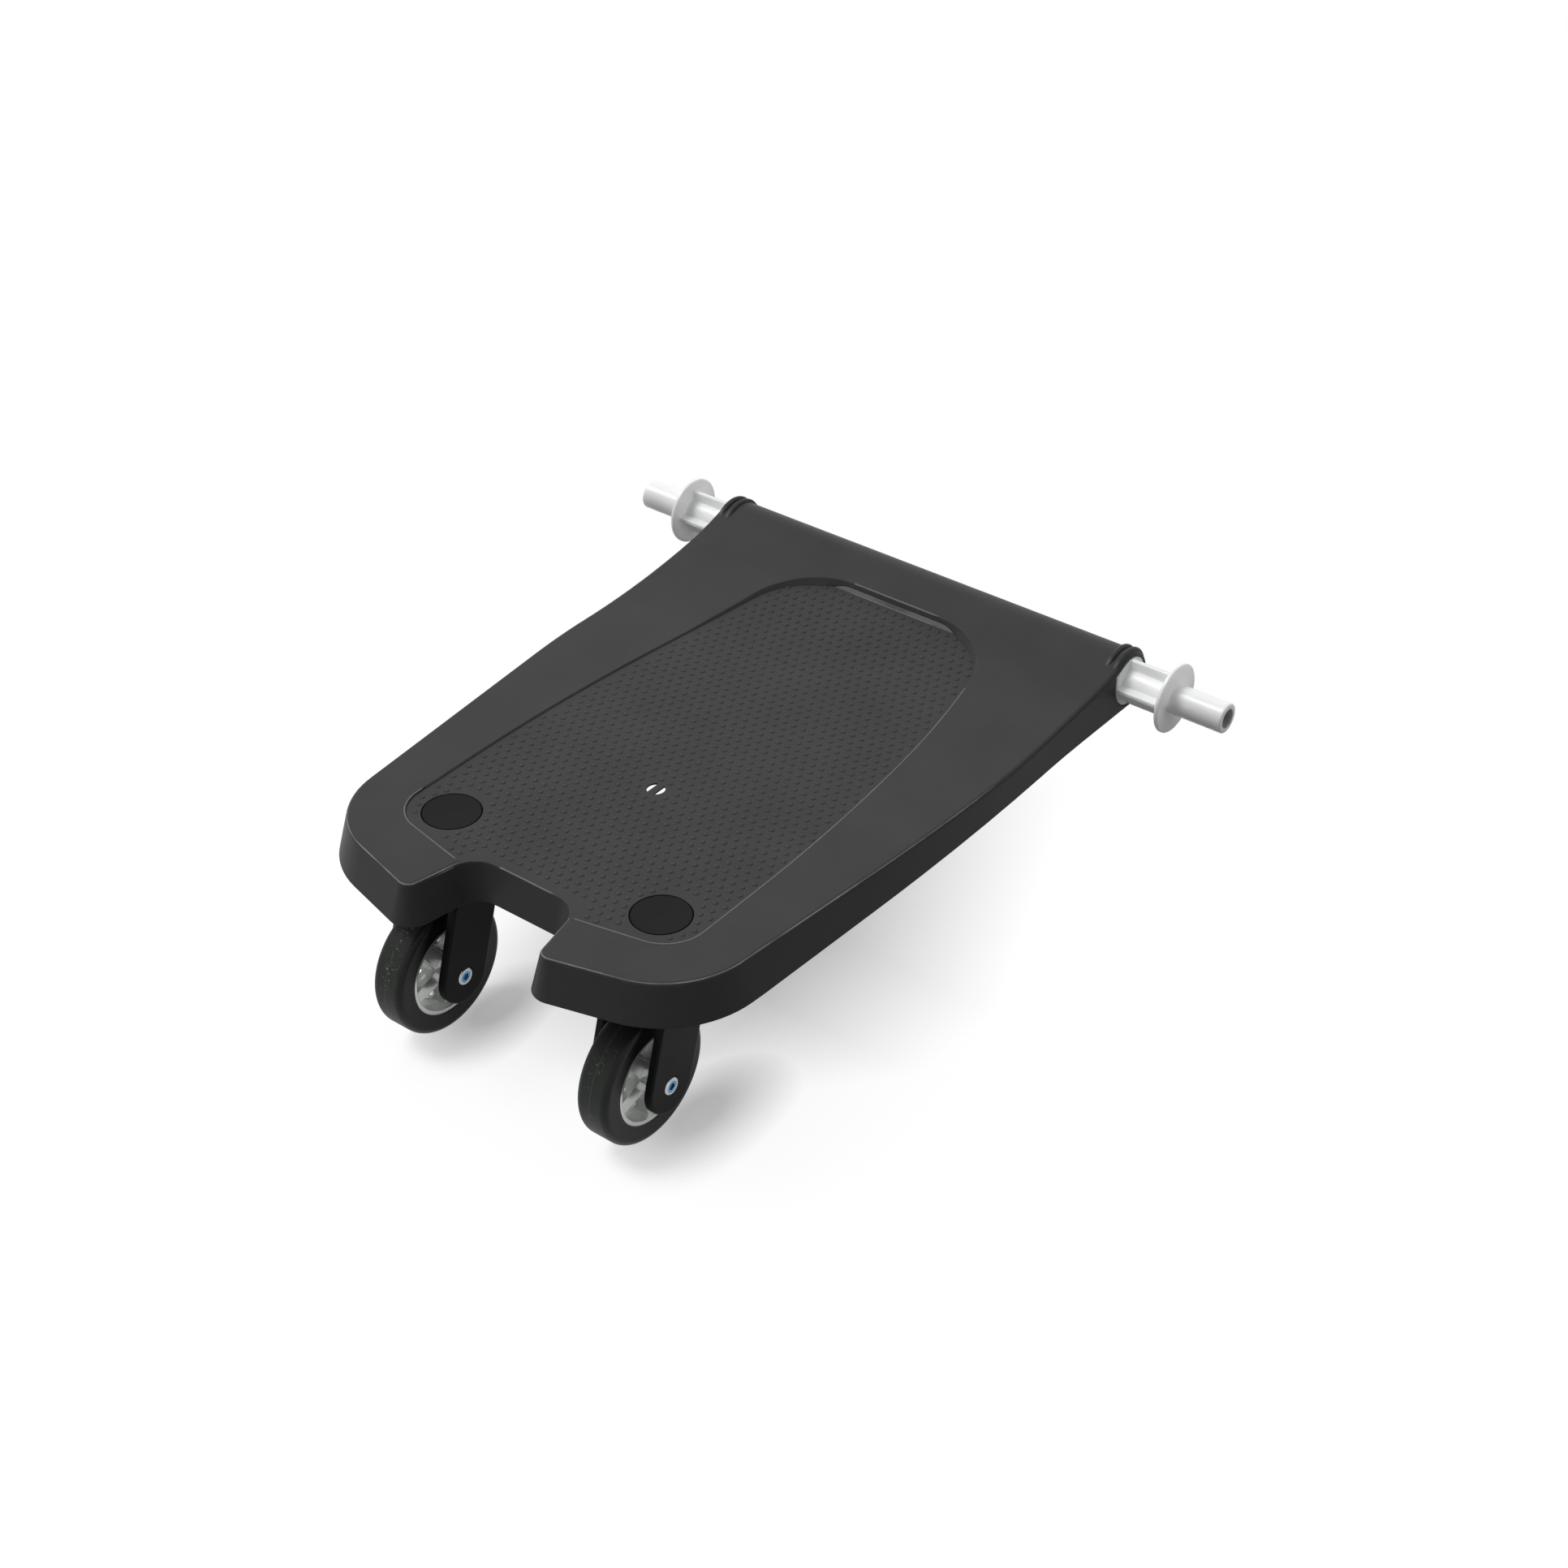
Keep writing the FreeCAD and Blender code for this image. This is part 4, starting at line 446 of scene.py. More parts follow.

# %% [markdown]
# ## Rubber
#
# A cast rubber tyre is a greenish black. Its running band is dull, picks up dust and carries the
# fine line where the two halves of the mould met; its sides stay smoother and darker. The band's
# paler colour is partly worn rubber and partly a painted sheen, for the light that the band
# catches. All of that depends on how far across the tyre a point lies, which is the distance from
# the wheel's middle plane. The line wanders a little, and the dust is thickest along it.

# %% Tyre rubber
TYRE_SHOULDER = 9.522 * MM
BAND_HALF = 7.2 * MM
RUBBER_IOR = 1.28
RUBBER_DARK, RUBBER_PALE = (0.007, 0.009, 0.008), (0.011, 0.013, 0.011)
BAND_WEAR_AND_SHEEN, BAND_SHARE = (0.024, 0.028, 0.025), 0.75
DUST_COLOUR = (0.34, 0.33, 0.27)
SEAM_COLOUR, SEAM_SHARE = (0.10, 0.10, 0.09), 0.35
SEAM_EDGE, SEAM_CORE, SEAM_RISE = 0.5 * MM, 0.15 * MM, 2.0
CHALK_EDGE, CHALK_CORE, CHALK_RANGE = 5.0 * MM, 0.4 * MM, (0.16, 0.85)
WANDER_SCALE, WANDER, NOISE_MIDDLE = 90.0, 0.6 * MM, 0.5
SIDE_ROUGH, BAND_ROUGH = 0.34, 0.50
RUBBER_DEPTH = 0.06 * MM

rubber = bpy.data.materials.new("tyre_rubber")
rubber.use_nodes = True
tree = rubber.node_tree
shader = tree.nodes["Principled BSDF"]
shader.inputs["IOR"].default_value = RUBBER_IOR
place = object_place(tree)
offset = beside_caster(tree, split(tree, place)[0])
band = spread(tree, calculate(tree, "ABSOLUTE", offset), TYRE_SHOULDER, BAND_HALF)
wander = calculate(
    tree, "MULTIPLY",
    calculate(tree, "SUBTRACT", noise(tree, place, WANDER_SCALE), NOISE_MIDDLE), WANDER)
from_seam = calculate(tree, "ABSOLUTE", calculate(tree, "ADD", offset, wander))
seam = spread(tree, from_seam, SEAM_EDGE, SEAM_CORE)
chalk = spread(tree, from_seam, CHALK_EDGE, CHALK_CORE, *CHALK_RANGE)
skin = use_group(tree, grain_group, Grain_Scale=900.0, Cloud_Scale=70.0)
dust = use_group(tree, dust_group, Speck_Scale=650.0, Amount=0.8).outputs["Mask"]
dusty = calculate(tree, "MULTIPLY", calculate(tree, "MULTIPLY", dust, chalk), band)
feed(tree, shader.inputs["Base Color"],
     tint(tree, skin.outputs["Cloud"], (*RUBBER_DARK, 1), (*RUBBER_PALE, 1)))
# The paler band is worn rubber and a painted sheen.
stain(tree, calculate(tree, "MULTIPLY", band, BAND_SHARE), BAND_WEAR_AND_SHEEN)
stain(tree, dusty, DUST_COLOUR)
on_band = calculate(tree, "MULTIPLY", band, SEAM_SHARE)
stain(tree, calculate(tree, "MULTIPLY", seam, on_band), SEAM_COLOUR)
bump = add(tree, "ShaderNodeBump")
bump.inputs["Distance"].default_value = RUBBER_DEPTH
ridge = calculate(tree, "MULTIPLY", seam, SEAM_RISE)
feed(tree, bump.inputs["Height"], calculate(tree, "ADD", skin.outputs["Height"], ridge))
feed(tree, shader.inputs["Roughness"], spread(tree, band, 0.0, 1.0, SIDE_ROUGH, BAND_ROUGH))
feed(tree, shader.inputs["Normal"], bump.outputs[0])
print("tyre rubber made")

# %% [markdown]
# ## Metal
#
# Screws, nuts and the kingpins are zinc plated: bright, slightly blue, with cloudy patches where
# the plating dulled. The axle bolts' sockets show the blue of the passivation more strongly, so
# their colour depends on the distance from the axle line.

# %% Recipe for plated steel
PLATED_GRAIN, PLATED_CLOUDS = 1800.0, 240.0
PLATED_EDGE, PLATED_DEPTH = 0.3 * MM, 0.008 * MM
PLATED_WORN = (0.86, 0.87, 0.88)
GLOSSIER, DULLER = -0.06, 0.08
SOCKET_BLUE = (0.09, 0.24, 0.38)
SOCKET_RADIUS = 3.6 * MM
SOCKET_FADE = 0.9


def plated(name, colour, dull_colour, rough, blue_radius=None):
    """Zinc plated steel; inside the blue radius round the axle line it turns blue."""
    material = bpy.data.materials.new(name)
    material.use_nodes = True
    tree = material.node_tree
    shader = tree.nodes["Principled BSDF"]
    shader.inputs["Metallic"].default_value = 1.0
    skin = use_group(tree, grain_group, Grain_Scale=PLATED_GRAIN, Cloud_Scale=PLATED_CLOUDS)
    edges = use_group(tree, edge_group, Radius=PLATED_EDGE)
    cloud = skin.outputs["Cloud"]
    feed(tree, shader.inputs["Base Color"],
         tint(tree, cloud, (*colour, 1), (*dull_colour, 1)))
    if blue_radius:
        _, y, z = split(tree, object_place(tree))
        from_axle = distance(
            tree, calculate(tree, "SUBTRACT", y, AXLE_Y), calculate(tree, "SUBTRACT", z, AXLE_Z))
        stain(tree, spread(tree, from_axle, blue_radius, blue_radius * SOCKET_FADE), SOCKET_BLUE)
    stain(tree, edges.outputs["Wear"], PLATED_WORN)
    bump = add(tree, "ShaderNodeBump")
    bump.inputs["Distance"].default_value = PLATED_DEPTH
    feed(tree, bump.inputs["Height"], skin.outputs["Height"])
    feed(tree, bump.inputs["Normal"], edges.outputs["Normal"])
    feed(tree, shader.inputs["Roughness"],
         spread(tree, cloud, 0.0, 1.0, rough + GLOSSIER, rough + DULLER))
    feed(tree, shader.inputs["Normal"], bump.outputs[0])
    return material


zinc = plated("zinc_steel", (0.66, 0.68, 0.70), (0.52, 0.54, 0.57), 0.30)
bolt_zinc = plated(
    "axle_bolt_zinc", (0.50, 0.53, 0.55), (0.36, 0.39, 0.41), 0.26, blue_radius=SOCKET_RADIUS)
spring_wire = plated("spring_steel", (0.58, 0.58, 0.57), (0.44, 0.44, 0.44), 0.24)
print("metals made")

# %% [markdown]
# ## Paint every solid
#
# The solids keep their own meshes. Each one only gets a better material in the slot that the
# plain colour had.

# %% Materials onto the solids
FINISHES = {
    "deck": deck_plastic, "channel_cover": deck_plastic, "cover_screws": zinc,
    "caster_cap": cap_plastic, "pin_plunger": pin_nylon, "plunger_spring": spring_wire,
    "upper_bush": bush_nylon, "lower_bush": bush_nylon, "kingpin": zinc, "kingpin_washer": zinc,
    "kingpin_nut": zinc, "fork": fork_plastic, "axle_sleeve": zinc, "axle_bolt": bolt_zinc,
    "axle_nut": zinc, "hub": hub_plastic, "tyre": rubber, "wheel_bushes": bush_nylon,
}
for name, solid in NODES.items():
    kind = name.removesuffix("_left").removesuffix("_right")
    for material_slot in solid.material_slots:
        material_slot.material = FINISHES[kind]
print("painted:", len(NODES), "solids")

# %% [markdown]
# ## The springs behind the pins
#
# Behind each pin sits a coil spring. When the pin slides in, its spring has to shorten, which a
# rigid solid can't do. A copy of the spring, with its own copy of the mesh, takes its place and is
# fixed to the deck.

# %% Plunger springs
for side in SIDES:
    node = "plunger_spring_" + side
    slide = side + "_plunger_slide"
    travel = JOINTS[slide]["range_m"][1]
    inner, outer = sorted((corner[0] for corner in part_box(node)), key=abs)
    spring = bpy.data.objects.new("coil_spring_" + side, NODES[node].data.copy())
    spring.data.materials.clear()
    spring.data.materials.append(spring_wire)
    bpy.context.collection.objects.link(spring)
    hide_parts(node)
    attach(spring, "deck")
    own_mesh(spring)
    print(spring.name, "shortens from", round(abs(outer - inner), 4), "by", travel)

# %% [markdown]
# ## The tread
#
# The standing area is sunk a millimetre into the deck, and it follows the deck's gentle upward
# sweep in front. To put anything on it, we need its surface and the surface of the border round
# it. Both are flat and then curve up, so a circle's equation gives their height at any place.

# %% Surfaces of the tread and its border
RIM_STEP = 1.0 * MM
SWEEP_START = 193.0 * MM
SWEEP_END = 286.8 * MM
ROLL_RADIUS = 17.6 * MM
BORDER_SWEEP = 645.0 * MM
TREAD_SWEEP = 880.0 * MM


def swept(ahead, level, radius):
    """Height of a surface that is flat and then sweeps up; ahead is from the swivel axes."""
    past = max(0.0, ahead - SWEEP_START)
    return TREAD_Z + level + radius - math.sqrt(radius ** 2 - past ** 2)


def tread_height(ahead):
    """Height of the tread's surface."""
    return swept(ahead, 0.0, TREAD_SWEEP)


def roll_hollow():
    """Centre and radius of the hollow between the border's sweep and the front roll."""
    pin = Vector((PIN_Y - SWIVEL_Y, PIN_Z))
    end = Vector((SWEEP_END, swept(SWEEP_END, RIM_STEP, BORDER_SWEEP)))
    square = (Vector((SWEEP_START, TREAD_Z + RIM_STEP + BORDER_SWEEP)) - end).normalized()
    reach = end - pin
    gap = reach.length_squared - ROLL_RADIUS ** 2
    radius = gap / (2 * (ROLL_RADIUS - reach.dot(square)))
    return end + square * radius, radius


HOLLOW_CENTRE, HOLLOW_RADIUS = roll_hollow()


def border_height(ahead):
    """Height of the border round the tread."""
    if ahead < SWEEP_END:
        return swept(ahead, RIM_STEP, BORDER_SWEEP)
    past = ahead - HOLLOW_CENTRE.x
    return HOLLOW_CENTRE.y - math.sqrt(HOLLOW_RADIUS ** 2 - past ** 2)


print("border's height at the end of its sweep:", round(border_height(SWEEP_END), 4))

# %% [markdown]
# The tread's outline is a polygon with rounded corners, alike on both sides. Each corner is given
# in millimetres from the middle of the swivel line: across, ahead and radius. The last number is
# for a wide bend instead: the share of the straights beside it that the bend takes up.

# %% Outline of the tread
TREAD_HALF_OUTLINE = [
    (0, -38.5, 0, 0), (99.5, -18.5, 24, 0), (99.5, 150, 0, 0.9), (72, 306, 47, 0)]
TREAD_FRONT = TREAD_HALF_OUTLINE[-1][1] * MM
OUTLINE_STEP = 2.0


def rounded_outline(corners, step):
    """Points along a closed polygon with rounded corners."""
    points = [Vector(c[:2]) for c in corners]
    count = len(points)
    sides = [points[(i + 1) % count] - points[i] for i in range(count)]
    way = [side.normalized() for side in sides]
    length = [side.length for side in sides]
    half_turn = [way[i - 1].angle(way[i]) / 2 for i in range(count)]
    cut = [c[2] * math.tan(h) for c, h in zip(corners, half_turn)]
    for i, corner in enumerate(corners):
        if corner[3]:
            room = min(length[i - 1] - cut[i - 1], length[i] - cut[(i + 1) % count])
            cut[i] = corner[3] * room
    path = []
    for i in range(count):
        start, end = points[i] - way[i - 1] * cut[i], points[i] + way[i] * cut[i]
        if cut[i]:
            radius = cut[i] / math.tan(half_turn[i])
            inwards = (way[i] - way[i - 1]).normalized()
            centre = points[i] + inwards * radius / math.cos(half_turn[i])
            steps = max(2, math.ceil(2 * half_turn[i] * radius / step))
            first = start - centre
            for k in range(steps + 1):
                angle = 2 * half_turn[i] * k / steps
                path.append(centre + Matrix.Rotation(angle, 2) @ first)
        else:
            path.append(start)
        following = points[(i + 1) % count] - way[i] * cut[(i + 1) % count]
        run = (following - end).length
        parts = round(run / step)
        path += [end + way[i] * run * k / parts for k in range(1, parts)]
    return path


mirrored = [(-x, y, radius, share) for x, y, radius, share in reversed(TREAD_HALF_OUTLINE[1:])]
TREAD_OUTLINE = [p * MM for p in rounded_outline(TREAD_HALF_OUTLINE + mirrored, OUTLINE_STEP)]
print("tread outline:", len(TREAD_OUTLINE), "points")

# %% [markdown]
# The dots lie on a staggered grid, about six millimetres apart. None stands where the real board
# has none: near the outline, round the caster caps, round the strap anchor and along the notch at
# the rear.

# %% Places of the dots
DOT_PITCH_X = 6.33 * MM
DOT_PITCH_Y = 6.1 * MM
DOT_FIRST_ROW, DOT_LAST = -6, 310.0 * MM
DOT_COLUMNS = 17
OUTLINE_THINNING = 3
OUTLINE_MARGIN = 3.0 * MM
CAP_MARGIN = 19.5 * MM
ANCHOR_MARGIN = 7.6 * MM
NOTCH_EDGE = (38.5 * MM, -16.5 * MM)


def inside_margin(point, outline):
    """How far a point lies inside a closed outline; negative outside."""
    near, odd = math.inf, False
    for a, b in zip(outline, outline[1:] + outline[:1]):
        side = b - a
        share = max(0.0, min(1.0, (point - a).dot(side) / side.length_squared))
        near = min(near, (point - a - side * share).length)
        crosses = (a.y > point.y) != (b.y > point.y)
        if crosses and point.x < a.x + side.x * (point.y - a.y) / side.y:
            odd = not odd
    return near if odd else -near


def dot_places():
    """Places of the dots, across and ahead of the middle of the swivel line."""
    outline = TREAD_OUTLINE[::OUTLINE_THINNING]
    cap = Vector((SWIVEL_X, 0.0))
    anchor = Vector((0.0, ANCHOR_Y - SWIVEL_Y))
    row = DOT_FIRST_ROW
    while row * DOT_PITCH_Y < DOT_LAST:
        y = row * DOT_PITCH_Y
        shift = (row % 2) * DOT_PITCH_X / 2
        for column in range(-DOT_COLUMNS, DOT_COLUMNS + 1):
            point = Vector((column * DOT_PITCH_X + shift, y))
            in_notch = abs(point.x) < NOTCH_EDGE[0] and point.y < NOTCH_EDGE[1]
            near_cap = (Vector((abs(point.x), y)) - cap).length < CAP_MARGIN
            near_anchor = (point - anchor).length < ANCHOR_MARGIN
            if in_notch or near_cap or near_anchor:
                continue
            if inside_margin(point, outline) > OUTLINE_MARGIN:
                yield point
        row += 1


places = list(dot_places())
print("places for dots:", len(places))

# %% [markdown]
# A dot is a low dome, and the domes get lower towards the rear. There are over a thousand, so they
# are one mesh, made by repeating the rings of a single dome. Each ring is a share of the radius
# and a share of the height; the lowest ring lies a little under the tread, so no gap shows.

# %% Tread dots
DOT_RADIUS = 1.8 * MM
DOT_HEIGHT_REAR, DOT_HEIGHT_FRONT = 0.17 * MM, 0.50 * MM
DOT_GROWTH = (60.0 * MM, 230.0 * MM)
DOT_SEGMENTS = 14
DOT_RINGS = [(1.0, -0.12), (0.86, 0.25), (0.63, 0.66), (0.33, 0.93)]


def dot_height(ahead):
    """Height of a dot, which grows towards the front."""
    start, end = DOT_GROWTH
    growth = max(0.0, min(1.0, (ahead - start) / (end - start)))
    return DOT_HEIGHT_REAR + (DOT_HEIGHT_FRONT - DOT_HEIGHT_REAR) * growth


def dome_field(name, places):
    """One mesh of closed domes that stand on the tread."""
    turns = np.arange(DOT_SEGMENTS) * 2 * math.pi / DOT_SEGMENTS
    circle = np.stack([np.cos(turns), np.sin(turns)], axis=1)
    vertices, faces = [], []
    for point in places:
        first = len(vertices)
        height = dot_height(point.y)
        for share, rise in DOT_RINGS:
            for c, s in circle * share * DOT_RADIUS:
                ahead = point.y + s
                level = tread_height(ahead) + rise * height
                vertices.append((point.x + c, SWIVEL_Y + ahead, level))
        vertices.append((point.x, SWIVEL_Y + point.y, tread_height(point.y) + height))
        for ring in range(len(DOT_RINGS) - 1):
            for k in range(DOT_SEGMENTS):
                a = first + ring * DOT_SEGMENTS + k
                b = first + ring * DOT_SEGMENTS + (k + 1) % DOT_SEGMENTS
                faces.append((a, b, b + DOT_SEGMENTS, a + DOT_SEGMENTS))
        last = first + (len(DOT_RINGS) - 1) * DOT_SEGMENTS
        for k in range(DOT_SEGMENTS):
            faces.append((last + k, last + (k + 1) % DOT_SEGMENTS, len(vertices) - 1))
        faces.append(tuple(range(first, first + DOT_SEGMENTS))[::-1])
    mesh = bpy.data.meshes.new(name)
    mesh.from_pydata(vertices, [], faces)
    mesh.shade_smooth()
    field = bpy.data.objects.new(name, mesh)
    bpy.context.collection.objects.link(field)
    return field


tread_dots = dome_field("tread_dots", places)
tread_dots.data.materials.append(tread_plastic)
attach(tread_dots, "deck")
print("tread dots:", len(tread_dots.data.polygons), "faces")

# %% [markdown]
# Fine edges are made as strips: equal rings of points, one after another along a path, joined by
# faces and closed at both ends. What lies beside the path is found from the level direction square
# to it.


# %% Strips along a path
def strip(name, sections):
    """A closed piece through equal rings of points."""
    count = len(sections[0])
    faces = []
    for i in range(len(sections) - 1):
        for k in range(count):
            a, b = i * count + k, i * count + (k + 1) % count
            faces.append((a, a + count, b + count, b))
    last = (len(sections) - 1) * count
    faces += [tuple(range(count)), tuple(range(last, last + count))[::-1]]
    mesh = bpy.data.meshes.new(name)
    mesh.from_pydata([point for section in sections for point in section], [], faces)
    piece = bpy.data.objects.new(name, mesh)
    bpy.context.collection.objects.link(piece)
    return piece


def outward(path, i):
    """The level direction square to a path, to its right."""
    ahead = (path[min(i + 1, len(path) - 1)] - path[max(i - 1, 0)]).normalized()
    return Vector((ahead.y, -ahead.x))


print("strip helpers ready")

# %% [markdown]
# Along the tread's rear and right sides, the border ends in a fine rounded lip. So do the two
# edges of the bevel at the tread's front and the edge of the notch. Each is a strip of small
# circles: a thin half-sunk bead along its edge. The beads are pale: a painted highlight, for the
# glint that these edges catch from the lamp.

# %% Lips with a painted highlight
LIP_RADIUS = 0.5 * MM
LIP_SEGMENTS = 8
LIP_OUT, LIP_SINK = 0.5, 0.55
LIP_GAP_HALF = 40.5 * MM
LIP_FRONT = 262.0 * MM
LIP_LEFT_END = 6.0 * MM
LIP_POINTS = 12
BEVEL_RUN, BEVEL_RISE = 3.4 * MM, 3.2 * MM
BEVEL_FOOT = TREAD_FRONT - BEVEL_RUN
BEVEL_HALF = 31.0 * MM
NOTCH_BACK = 20.9 * MM
NOTCH_HALF = 19.0 * MM


def bead(name, path, level):
    """A thin round bead along an open path; level gives the height of the edge it lies on."""
    sections = []
    for i, point in enumerate(path):
        section = []
        for k in range(LIP_SEGMENTS):
            angle = 2 * math.pi * k / LIP_SEGMENTS
            spot = point + outward(path, i) * LIP_RADIUS * (math.cos(angle) + LIP_OUT)
            rise = LIP_RADIUS * (math.sin(angle) - LIP_SINK)
            section.append((spot.x, SWIVEL_Y + spot.y, level(spot.y) + rise))
        sections.append(section)
    piece = strip(name, sections)
    piece.data.shade_smooth()
    return piece


def straight(half, ahead):
    """Points of a line across the board, from right to left."""
    return [Vector((half - 2 * half * k / (LIP_POINTS - 1), ahead)) for k in range(LIP_POINTS)]


rim = [p for p in TREAD_OUTLINE if not (abs(p.x) < LIP_GAP_HALF and p.y < 0)]
LIPS = {
    "tread_lip_right": ([p for p in rim if p.x > 0 and p.y < LIP_FRONT], border_height),
    "tread_lip_left": ([p for p in rim if p.x < 0 and p.y < LIP_LEFT_END], border_height),
    "bevel_lip_low": (straight(BEVEL_HALF, BEVEL_FOOT), tread_height),
    "bevel_lip_high": (straight(BEVEL_HALF, TREAD_FRONT), border_height),
    "notch_lip": (straight(NOTCH_HALF, -NOTCH_BACK), tread_height),
}
for name, (path, level) in LIPS.items():
    lip = bead(name, path, level)
    # Pale plastic: a painted highlight along the edge.
    lip.data.materials.append(lip_plastic)
    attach(lip, "deck")
    print(name, len(path), "points")

# %% [markdown]
# A mould has to let go of what it makes, so the wall round the tread leans a little. One slim
# wedge gives it that lean: it runs up the right side, across the front and down the left side. It
# makes the wall read as a soft dark line and not as a crack.

# %% Leaning wall
WALL_LEAN = 0.8
WALL_SINK = 0.05 * MM


def floor_height(ahead):
    """Height of the tread's surface with the bevel at its front."""
    climb = max(0.0, ahead - BEVEL_FOOT) * BEVEL_RISE / BEVEL_RUN
    return tread_height(min(ahead, BEVEL_FOOT)) + climb


def wall_section(path, i):
    """One slice of the wedge: the border's edge, the foot on the tread, and the corner."""
    point, out = path[i], outward(path, i)
    top, bottom = border_height(point.y), floor_height(point.y) - WALL_SINK
    foot = point - out * (top - bottom) * WALL_LEAN
    return [(point.x, SWIVEL_Y + point.y, top),
            (foot.x, SWIVEL_Y + foot.y, floor_height(foot.y) - WALL_SINK),
            (point.x, SWIVEL_Y + point.y, bottom)]


path = [p for p in TREAD_OUTLINE if p.y > LIP_LEFT_END]
wall = strip("tread_wall", [wall_section(path, i) for i in range(len(path))])
wall.data.materials.append(tread_plastic)
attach(wall, "deck")
print(wall.name, len(path), "sections")

# %% [markdown]
# ## Floor, light and camera
#
# The board stands on a white sweep in soft light. Where the camera, a reflection or a clear piece
# looks straight at the floor, it is lifted towards pure white. Close to the wheels and under the
# deck the lift is partial, so that the shadows stay; farther off it is full, and the background
# needs no stronger lamps. For light that bounces back up, the floor is a mid grey, as a studio's
# surroundings are, so the skirt stays dark.

# %% How far the floor is lifted
CONTACT_SHIFT = Vector((18, 26)) * MM
CONTACT_STRETCH = 0.45
CONTACT_LIFT, CONTACT_FROM, CONTACT_TO = 0.15, 8 * MM, 40 * MM
NEAR_LIFT, NEAR_TO = 0.92, 110 * MM
DECK_LIFT, DECK_SIDE, DECK_CLEAR = 0.29, 60 * MM, 170 * MM
REAR_LIFT, REAR_FROM, REAR_TO = 0.55, -160 * MM, -40 * MM
FRONT_LIFT, FRONT_FROM, FRONT_TO = 0.71, 30 * MM, 300 * MM


def looks_straight(tree):
    """One for camera, mirror and see-through rays, and nought for light that bounces."""
    ray = add(tree, "ShaderNodeLightPath")
    seen = calculate(tree, "MAXIMUM", ray.outputs["Is Camera Ray"], ray.outputs["Is Glossy Ray"])
    return calculate(tree, "MAXIMUM", seen, ray.outputs["Is Transmission Ray"])


def floor_lift(tree):
    """How far the floor is lifted to white: little by the wheels and under the deck."""
    x, y, _ = split(tree, object_place(tree))
    across = beside_caster(tree, calculate(tree, "SUBTRACT", x, CONTACT_SHIFT.x))
    ahead = calculate(tree, "SUBTRACT", y, AXLE_Y + CONTACT_SHIFT.y)
    reach = distance(tree, across, calculate(tree, "MULTIPLY", ahead, CONTACT_STRETCH))
    by_wheel = calculate(
        tree, "ADD", spread(tree, reach, CONTACT_FROM, CONTACT_TO, CONTACT_LIFT, NEAR_LIFT),
        spread(tree, reach, CONTACT_TO, NEAR_TO, 0.0, 1.0 - NEAR_LIFT))
    by_ends = calculate(
        tree, "ADD", spread(tree, y, REAR_FROM, REAR_TO, REAR_LIFT, 0.0),
        spread(tree, y, FRONT_FROM, FRONT_TO, 0.0, FRONT_LIFT))
    by_side = spread(tree, x, DECK_SIDE, DECK_CLEAR, DECK_LIFT, 1.0)
    by_deck = calculate(tree, "ADD", by_side, by_ends, clamp=True)
    return calculate(tree, "MINIMUM", by_wheel, by_deck)


print("floor helpers ready")

# %% [markdown]
# The floor itself is one large square. Its material mixes a matte white with a plain glow, by how
# far the floor is lifted at that place. Seen from below it is clear, so that the board's underside
# can be looked at.

# %% Floor
FLOOR_HALF = 7.0
FLOOR_CORNERS = ((-1, -1), (1, -1), (1, 1), (-1, 1))
FLOOR_FILL = 0.20
FLOOR_GLOW = 1.0
FLOOR_WHITE = (0.95, 0.95, 0.95)
FLOOR_BOUNCE = (0.20, 0.20, 0.20)
floor_mesh = bpy.data.meshes.new("floor")
floor_mesh.from_pydata(
    [(x * FLOOR_HALF, y * FLOOR_HALF, 0) for x, y in FLOOR_CORNERS], [], [(0, 1, 2, 3)])
floor = bpy.data.objects.new("floor", floor_mesh)
bpy.context.collection.objects.link(floor)

floor_white = bpy.data.materials.new("floor_white")
floor_white.use_nodes = True
tree = floor_white.node_tree
tree.nodes.remove(tree.nodes["Principled BSDF"])
matte = add(tree, "ShaderNodeBsdfDiffuse")
bounce = add(tree, "ShaderNodeLightPath").outputs["Is Diffuse Ray"]
feed(tree, matte.inputs["Color"], tint(tree, bounce, (*FLOOR_WHITE, 1), (*FLOOR_BOUNCE, 1)))
fill = add(tree, "ShaderNodeEmission")
feed(tree, fill.inputs["Strength"],
     calculate(tree, "MULTIPLY", looks_straight(tree), FLOOR_FILL))
paper = add(tree, "ShaderNodeAddShader")
feed(tree, paper.inputs[0], matte.outputs[0])
feed(tree, paper.inputs[1], fill.outputs[0])
glow = add(tree, "ShaderNodeEmission")
glow.inputs["Strength"].default_value = FLOOR_GLOW
mix = add(tree, "ShaderNodeMixShader")
feed(tree, mix.inputs[0], calculate(tree, "MULTIPLY", looks_straight(tree), floor_lift(tree)))
feed(tree, mix.inputs[1], paper.outputs[0])
feed(tree, mix.inputs[2], glow.outputs[0])
from_below = add(tree, "ShaderNodeMixShader")
feed(tree, from_below.inputs[0], add(tree, "ShaderNodeNewGeometry").outputs["Backfacing"])
feed(tree, from_below.inputs[1], mix.outputs[0])
feed(tree, from_below.inputs[2], add(tree, "ShaderNodeBsdfTransparent").outputs[0])
feed(tree, tree.nodes["Material Output"].inputs[0], from_below.outputs[0])
floor_mesh.materials.append(floor_white)
print("floor laid")

# %% [markdown]
# The room is bright behind the board and dim on the camera's side, with one soft lamp high on the
# left. The bright side gives the top of the deck its sheen, the dim side leaves the skirt dark,
# and the lamp draws the thin bright lines on the rounded rear edges. The lamp is a sun with some
# width, which lights the whole floor evenly, so the background does not fall off.

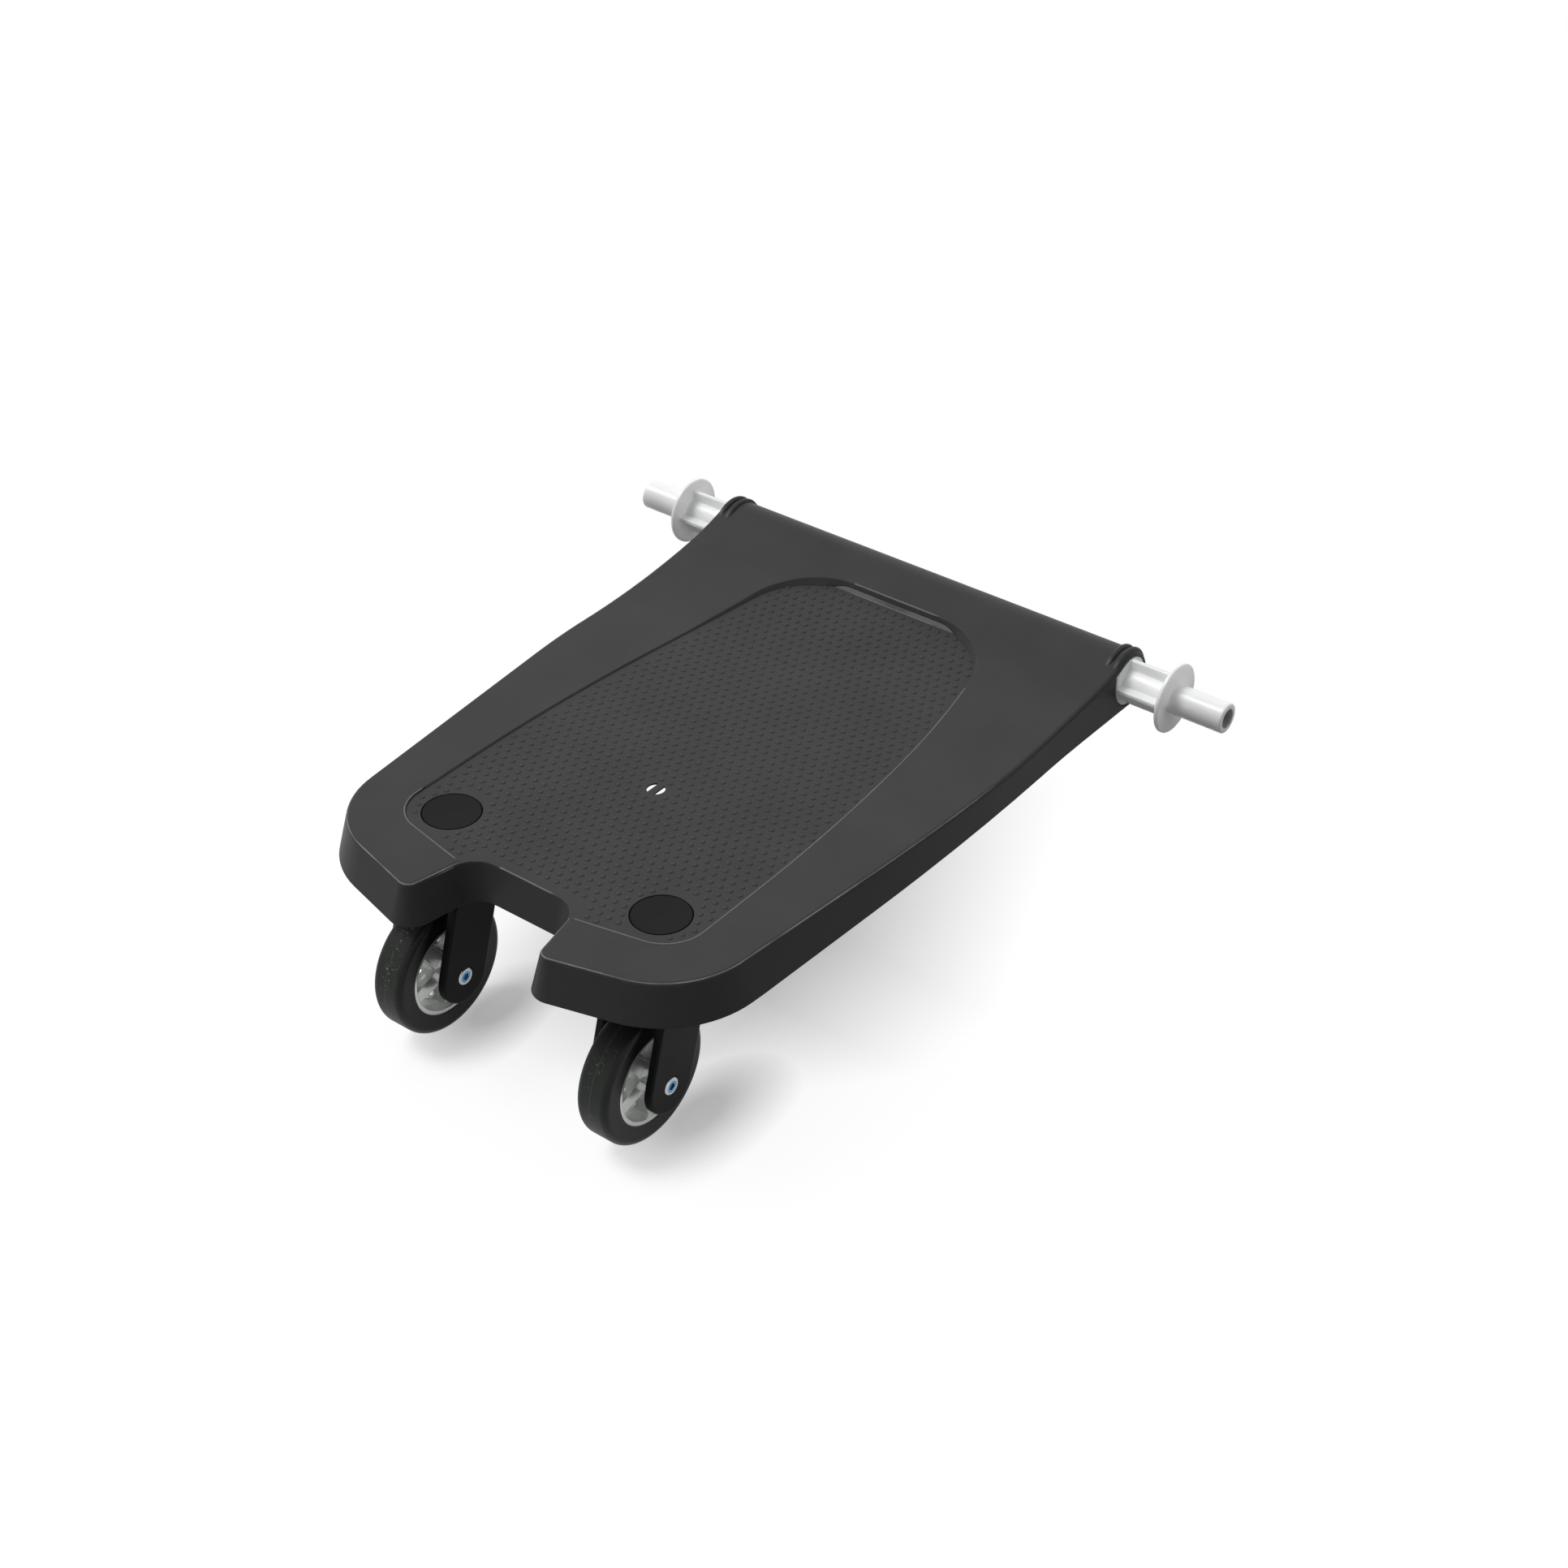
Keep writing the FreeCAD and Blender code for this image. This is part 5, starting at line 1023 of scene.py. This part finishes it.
# %% Light
ROOM_DARK = 0.12
ROOM_BRIGHT = 0.9
ROOM_BACK = Vector((-0.45, 0.62, 0.64))
ROOM_TURN = (-0.2, 0.8)
LAMP_STRENGTH = 1.7
LAMP_FROM = Vector((-0.46, -0.24, 0.86))
LAMP_WIDTH = 24
world = bpy.data.worlds.new("room")
bpy.context.scene.world = world
world.use_nodes = True
tree = world.node_tree
background = tree.nodes["Background"]
background.inputs["Color"].default_value = (1, 1, 1, 1)
towards = add(tree, "ShaderNodeVectorMath", operation="DOT_PRODUCT")
feed(tree, towards.inputs[0], add(tree, "ShaderNodeTexCoord").outputs["Generated"])
towards.inputs[1].default_value = ROOM_BACK
room = spread(tree, towards.outputs["Value"], *ROOM_TURN, ROOM_DARK, ROOM_BRIGHT)
feed(tree, background.inputs["Strength"], calculate(tree, "MAXIMUM", room, looks_straight(tree)))

lamp_data = bpy.data.lights.new("soft_lamp", "SUN")
lamp_data.energy = LAMP_STRENGTH
lamp_data.angle = math.radians(LAMP_WIDTH)
lamp = bpy.data.objects.new("soft_lamp", lamp_data)
lamp.rotation_mode = "QUATERNION"
lamp.rotation_quaternion = LAMP_FROM.to_track_quat("Z", "Y")
bpy.context.collection.objects.link(lamp)
print("lights set")

# %% [markdown]
# The camera was worked out from the photograph: the round caps, the pin axis, the wheels and the
# deck's edges fix where it stood and how long its lens was. Its three axes are written out as unit
# vectors.

# %% Camera
CAMERA_FROM_CAPS = Vector((771.9, -802.0, 835.2)) * MM
CAMERA_RIGHT = Vector((0.7912, 0.6116, 0.0))
CAMERA_UP = Vector((-0.3540, 0.4579, 0.8155))
CAMERA_BACK = Vector((0.4988, -0.6452, 0.5788))
FOCAL_PIXELS = 3270.66
PHOTO_WIDTH = 1932
SENSOR = 36.0
CLIP_END = 50.0
camera_data = bpy.data.cameras.new("camera")
camera_data.sensor_width = SENSOR
camera_data.sensor_fit = "HORIZONTAL"
camera_data.lens = FOCAL_PIXELS / PHOTO_WIDTH * SENSOR
camera_data.clip_end = CLIP_END
camera = bpy.data.objects.new("camera", camera_data)
camera_place = CAMERA_FROM_CAPS + Vector((0, SWIVEL_Y, TREAD_Z))
camera_axes = Matrix((CAMERA_RIGHT, CAMERA_UP, CAMERA_BACK)).transposed()
camera.matrix_world = Matrix.Translation(camera_place) @ camera_axes.to_4x4()
bpy.context.collection.objects.link(camera)
bpy.context.scene.camera = camera
bpy.context.scene.view_settings.view_transform = "Standard"
print("camera lens", round(camera_data.lens, 2))
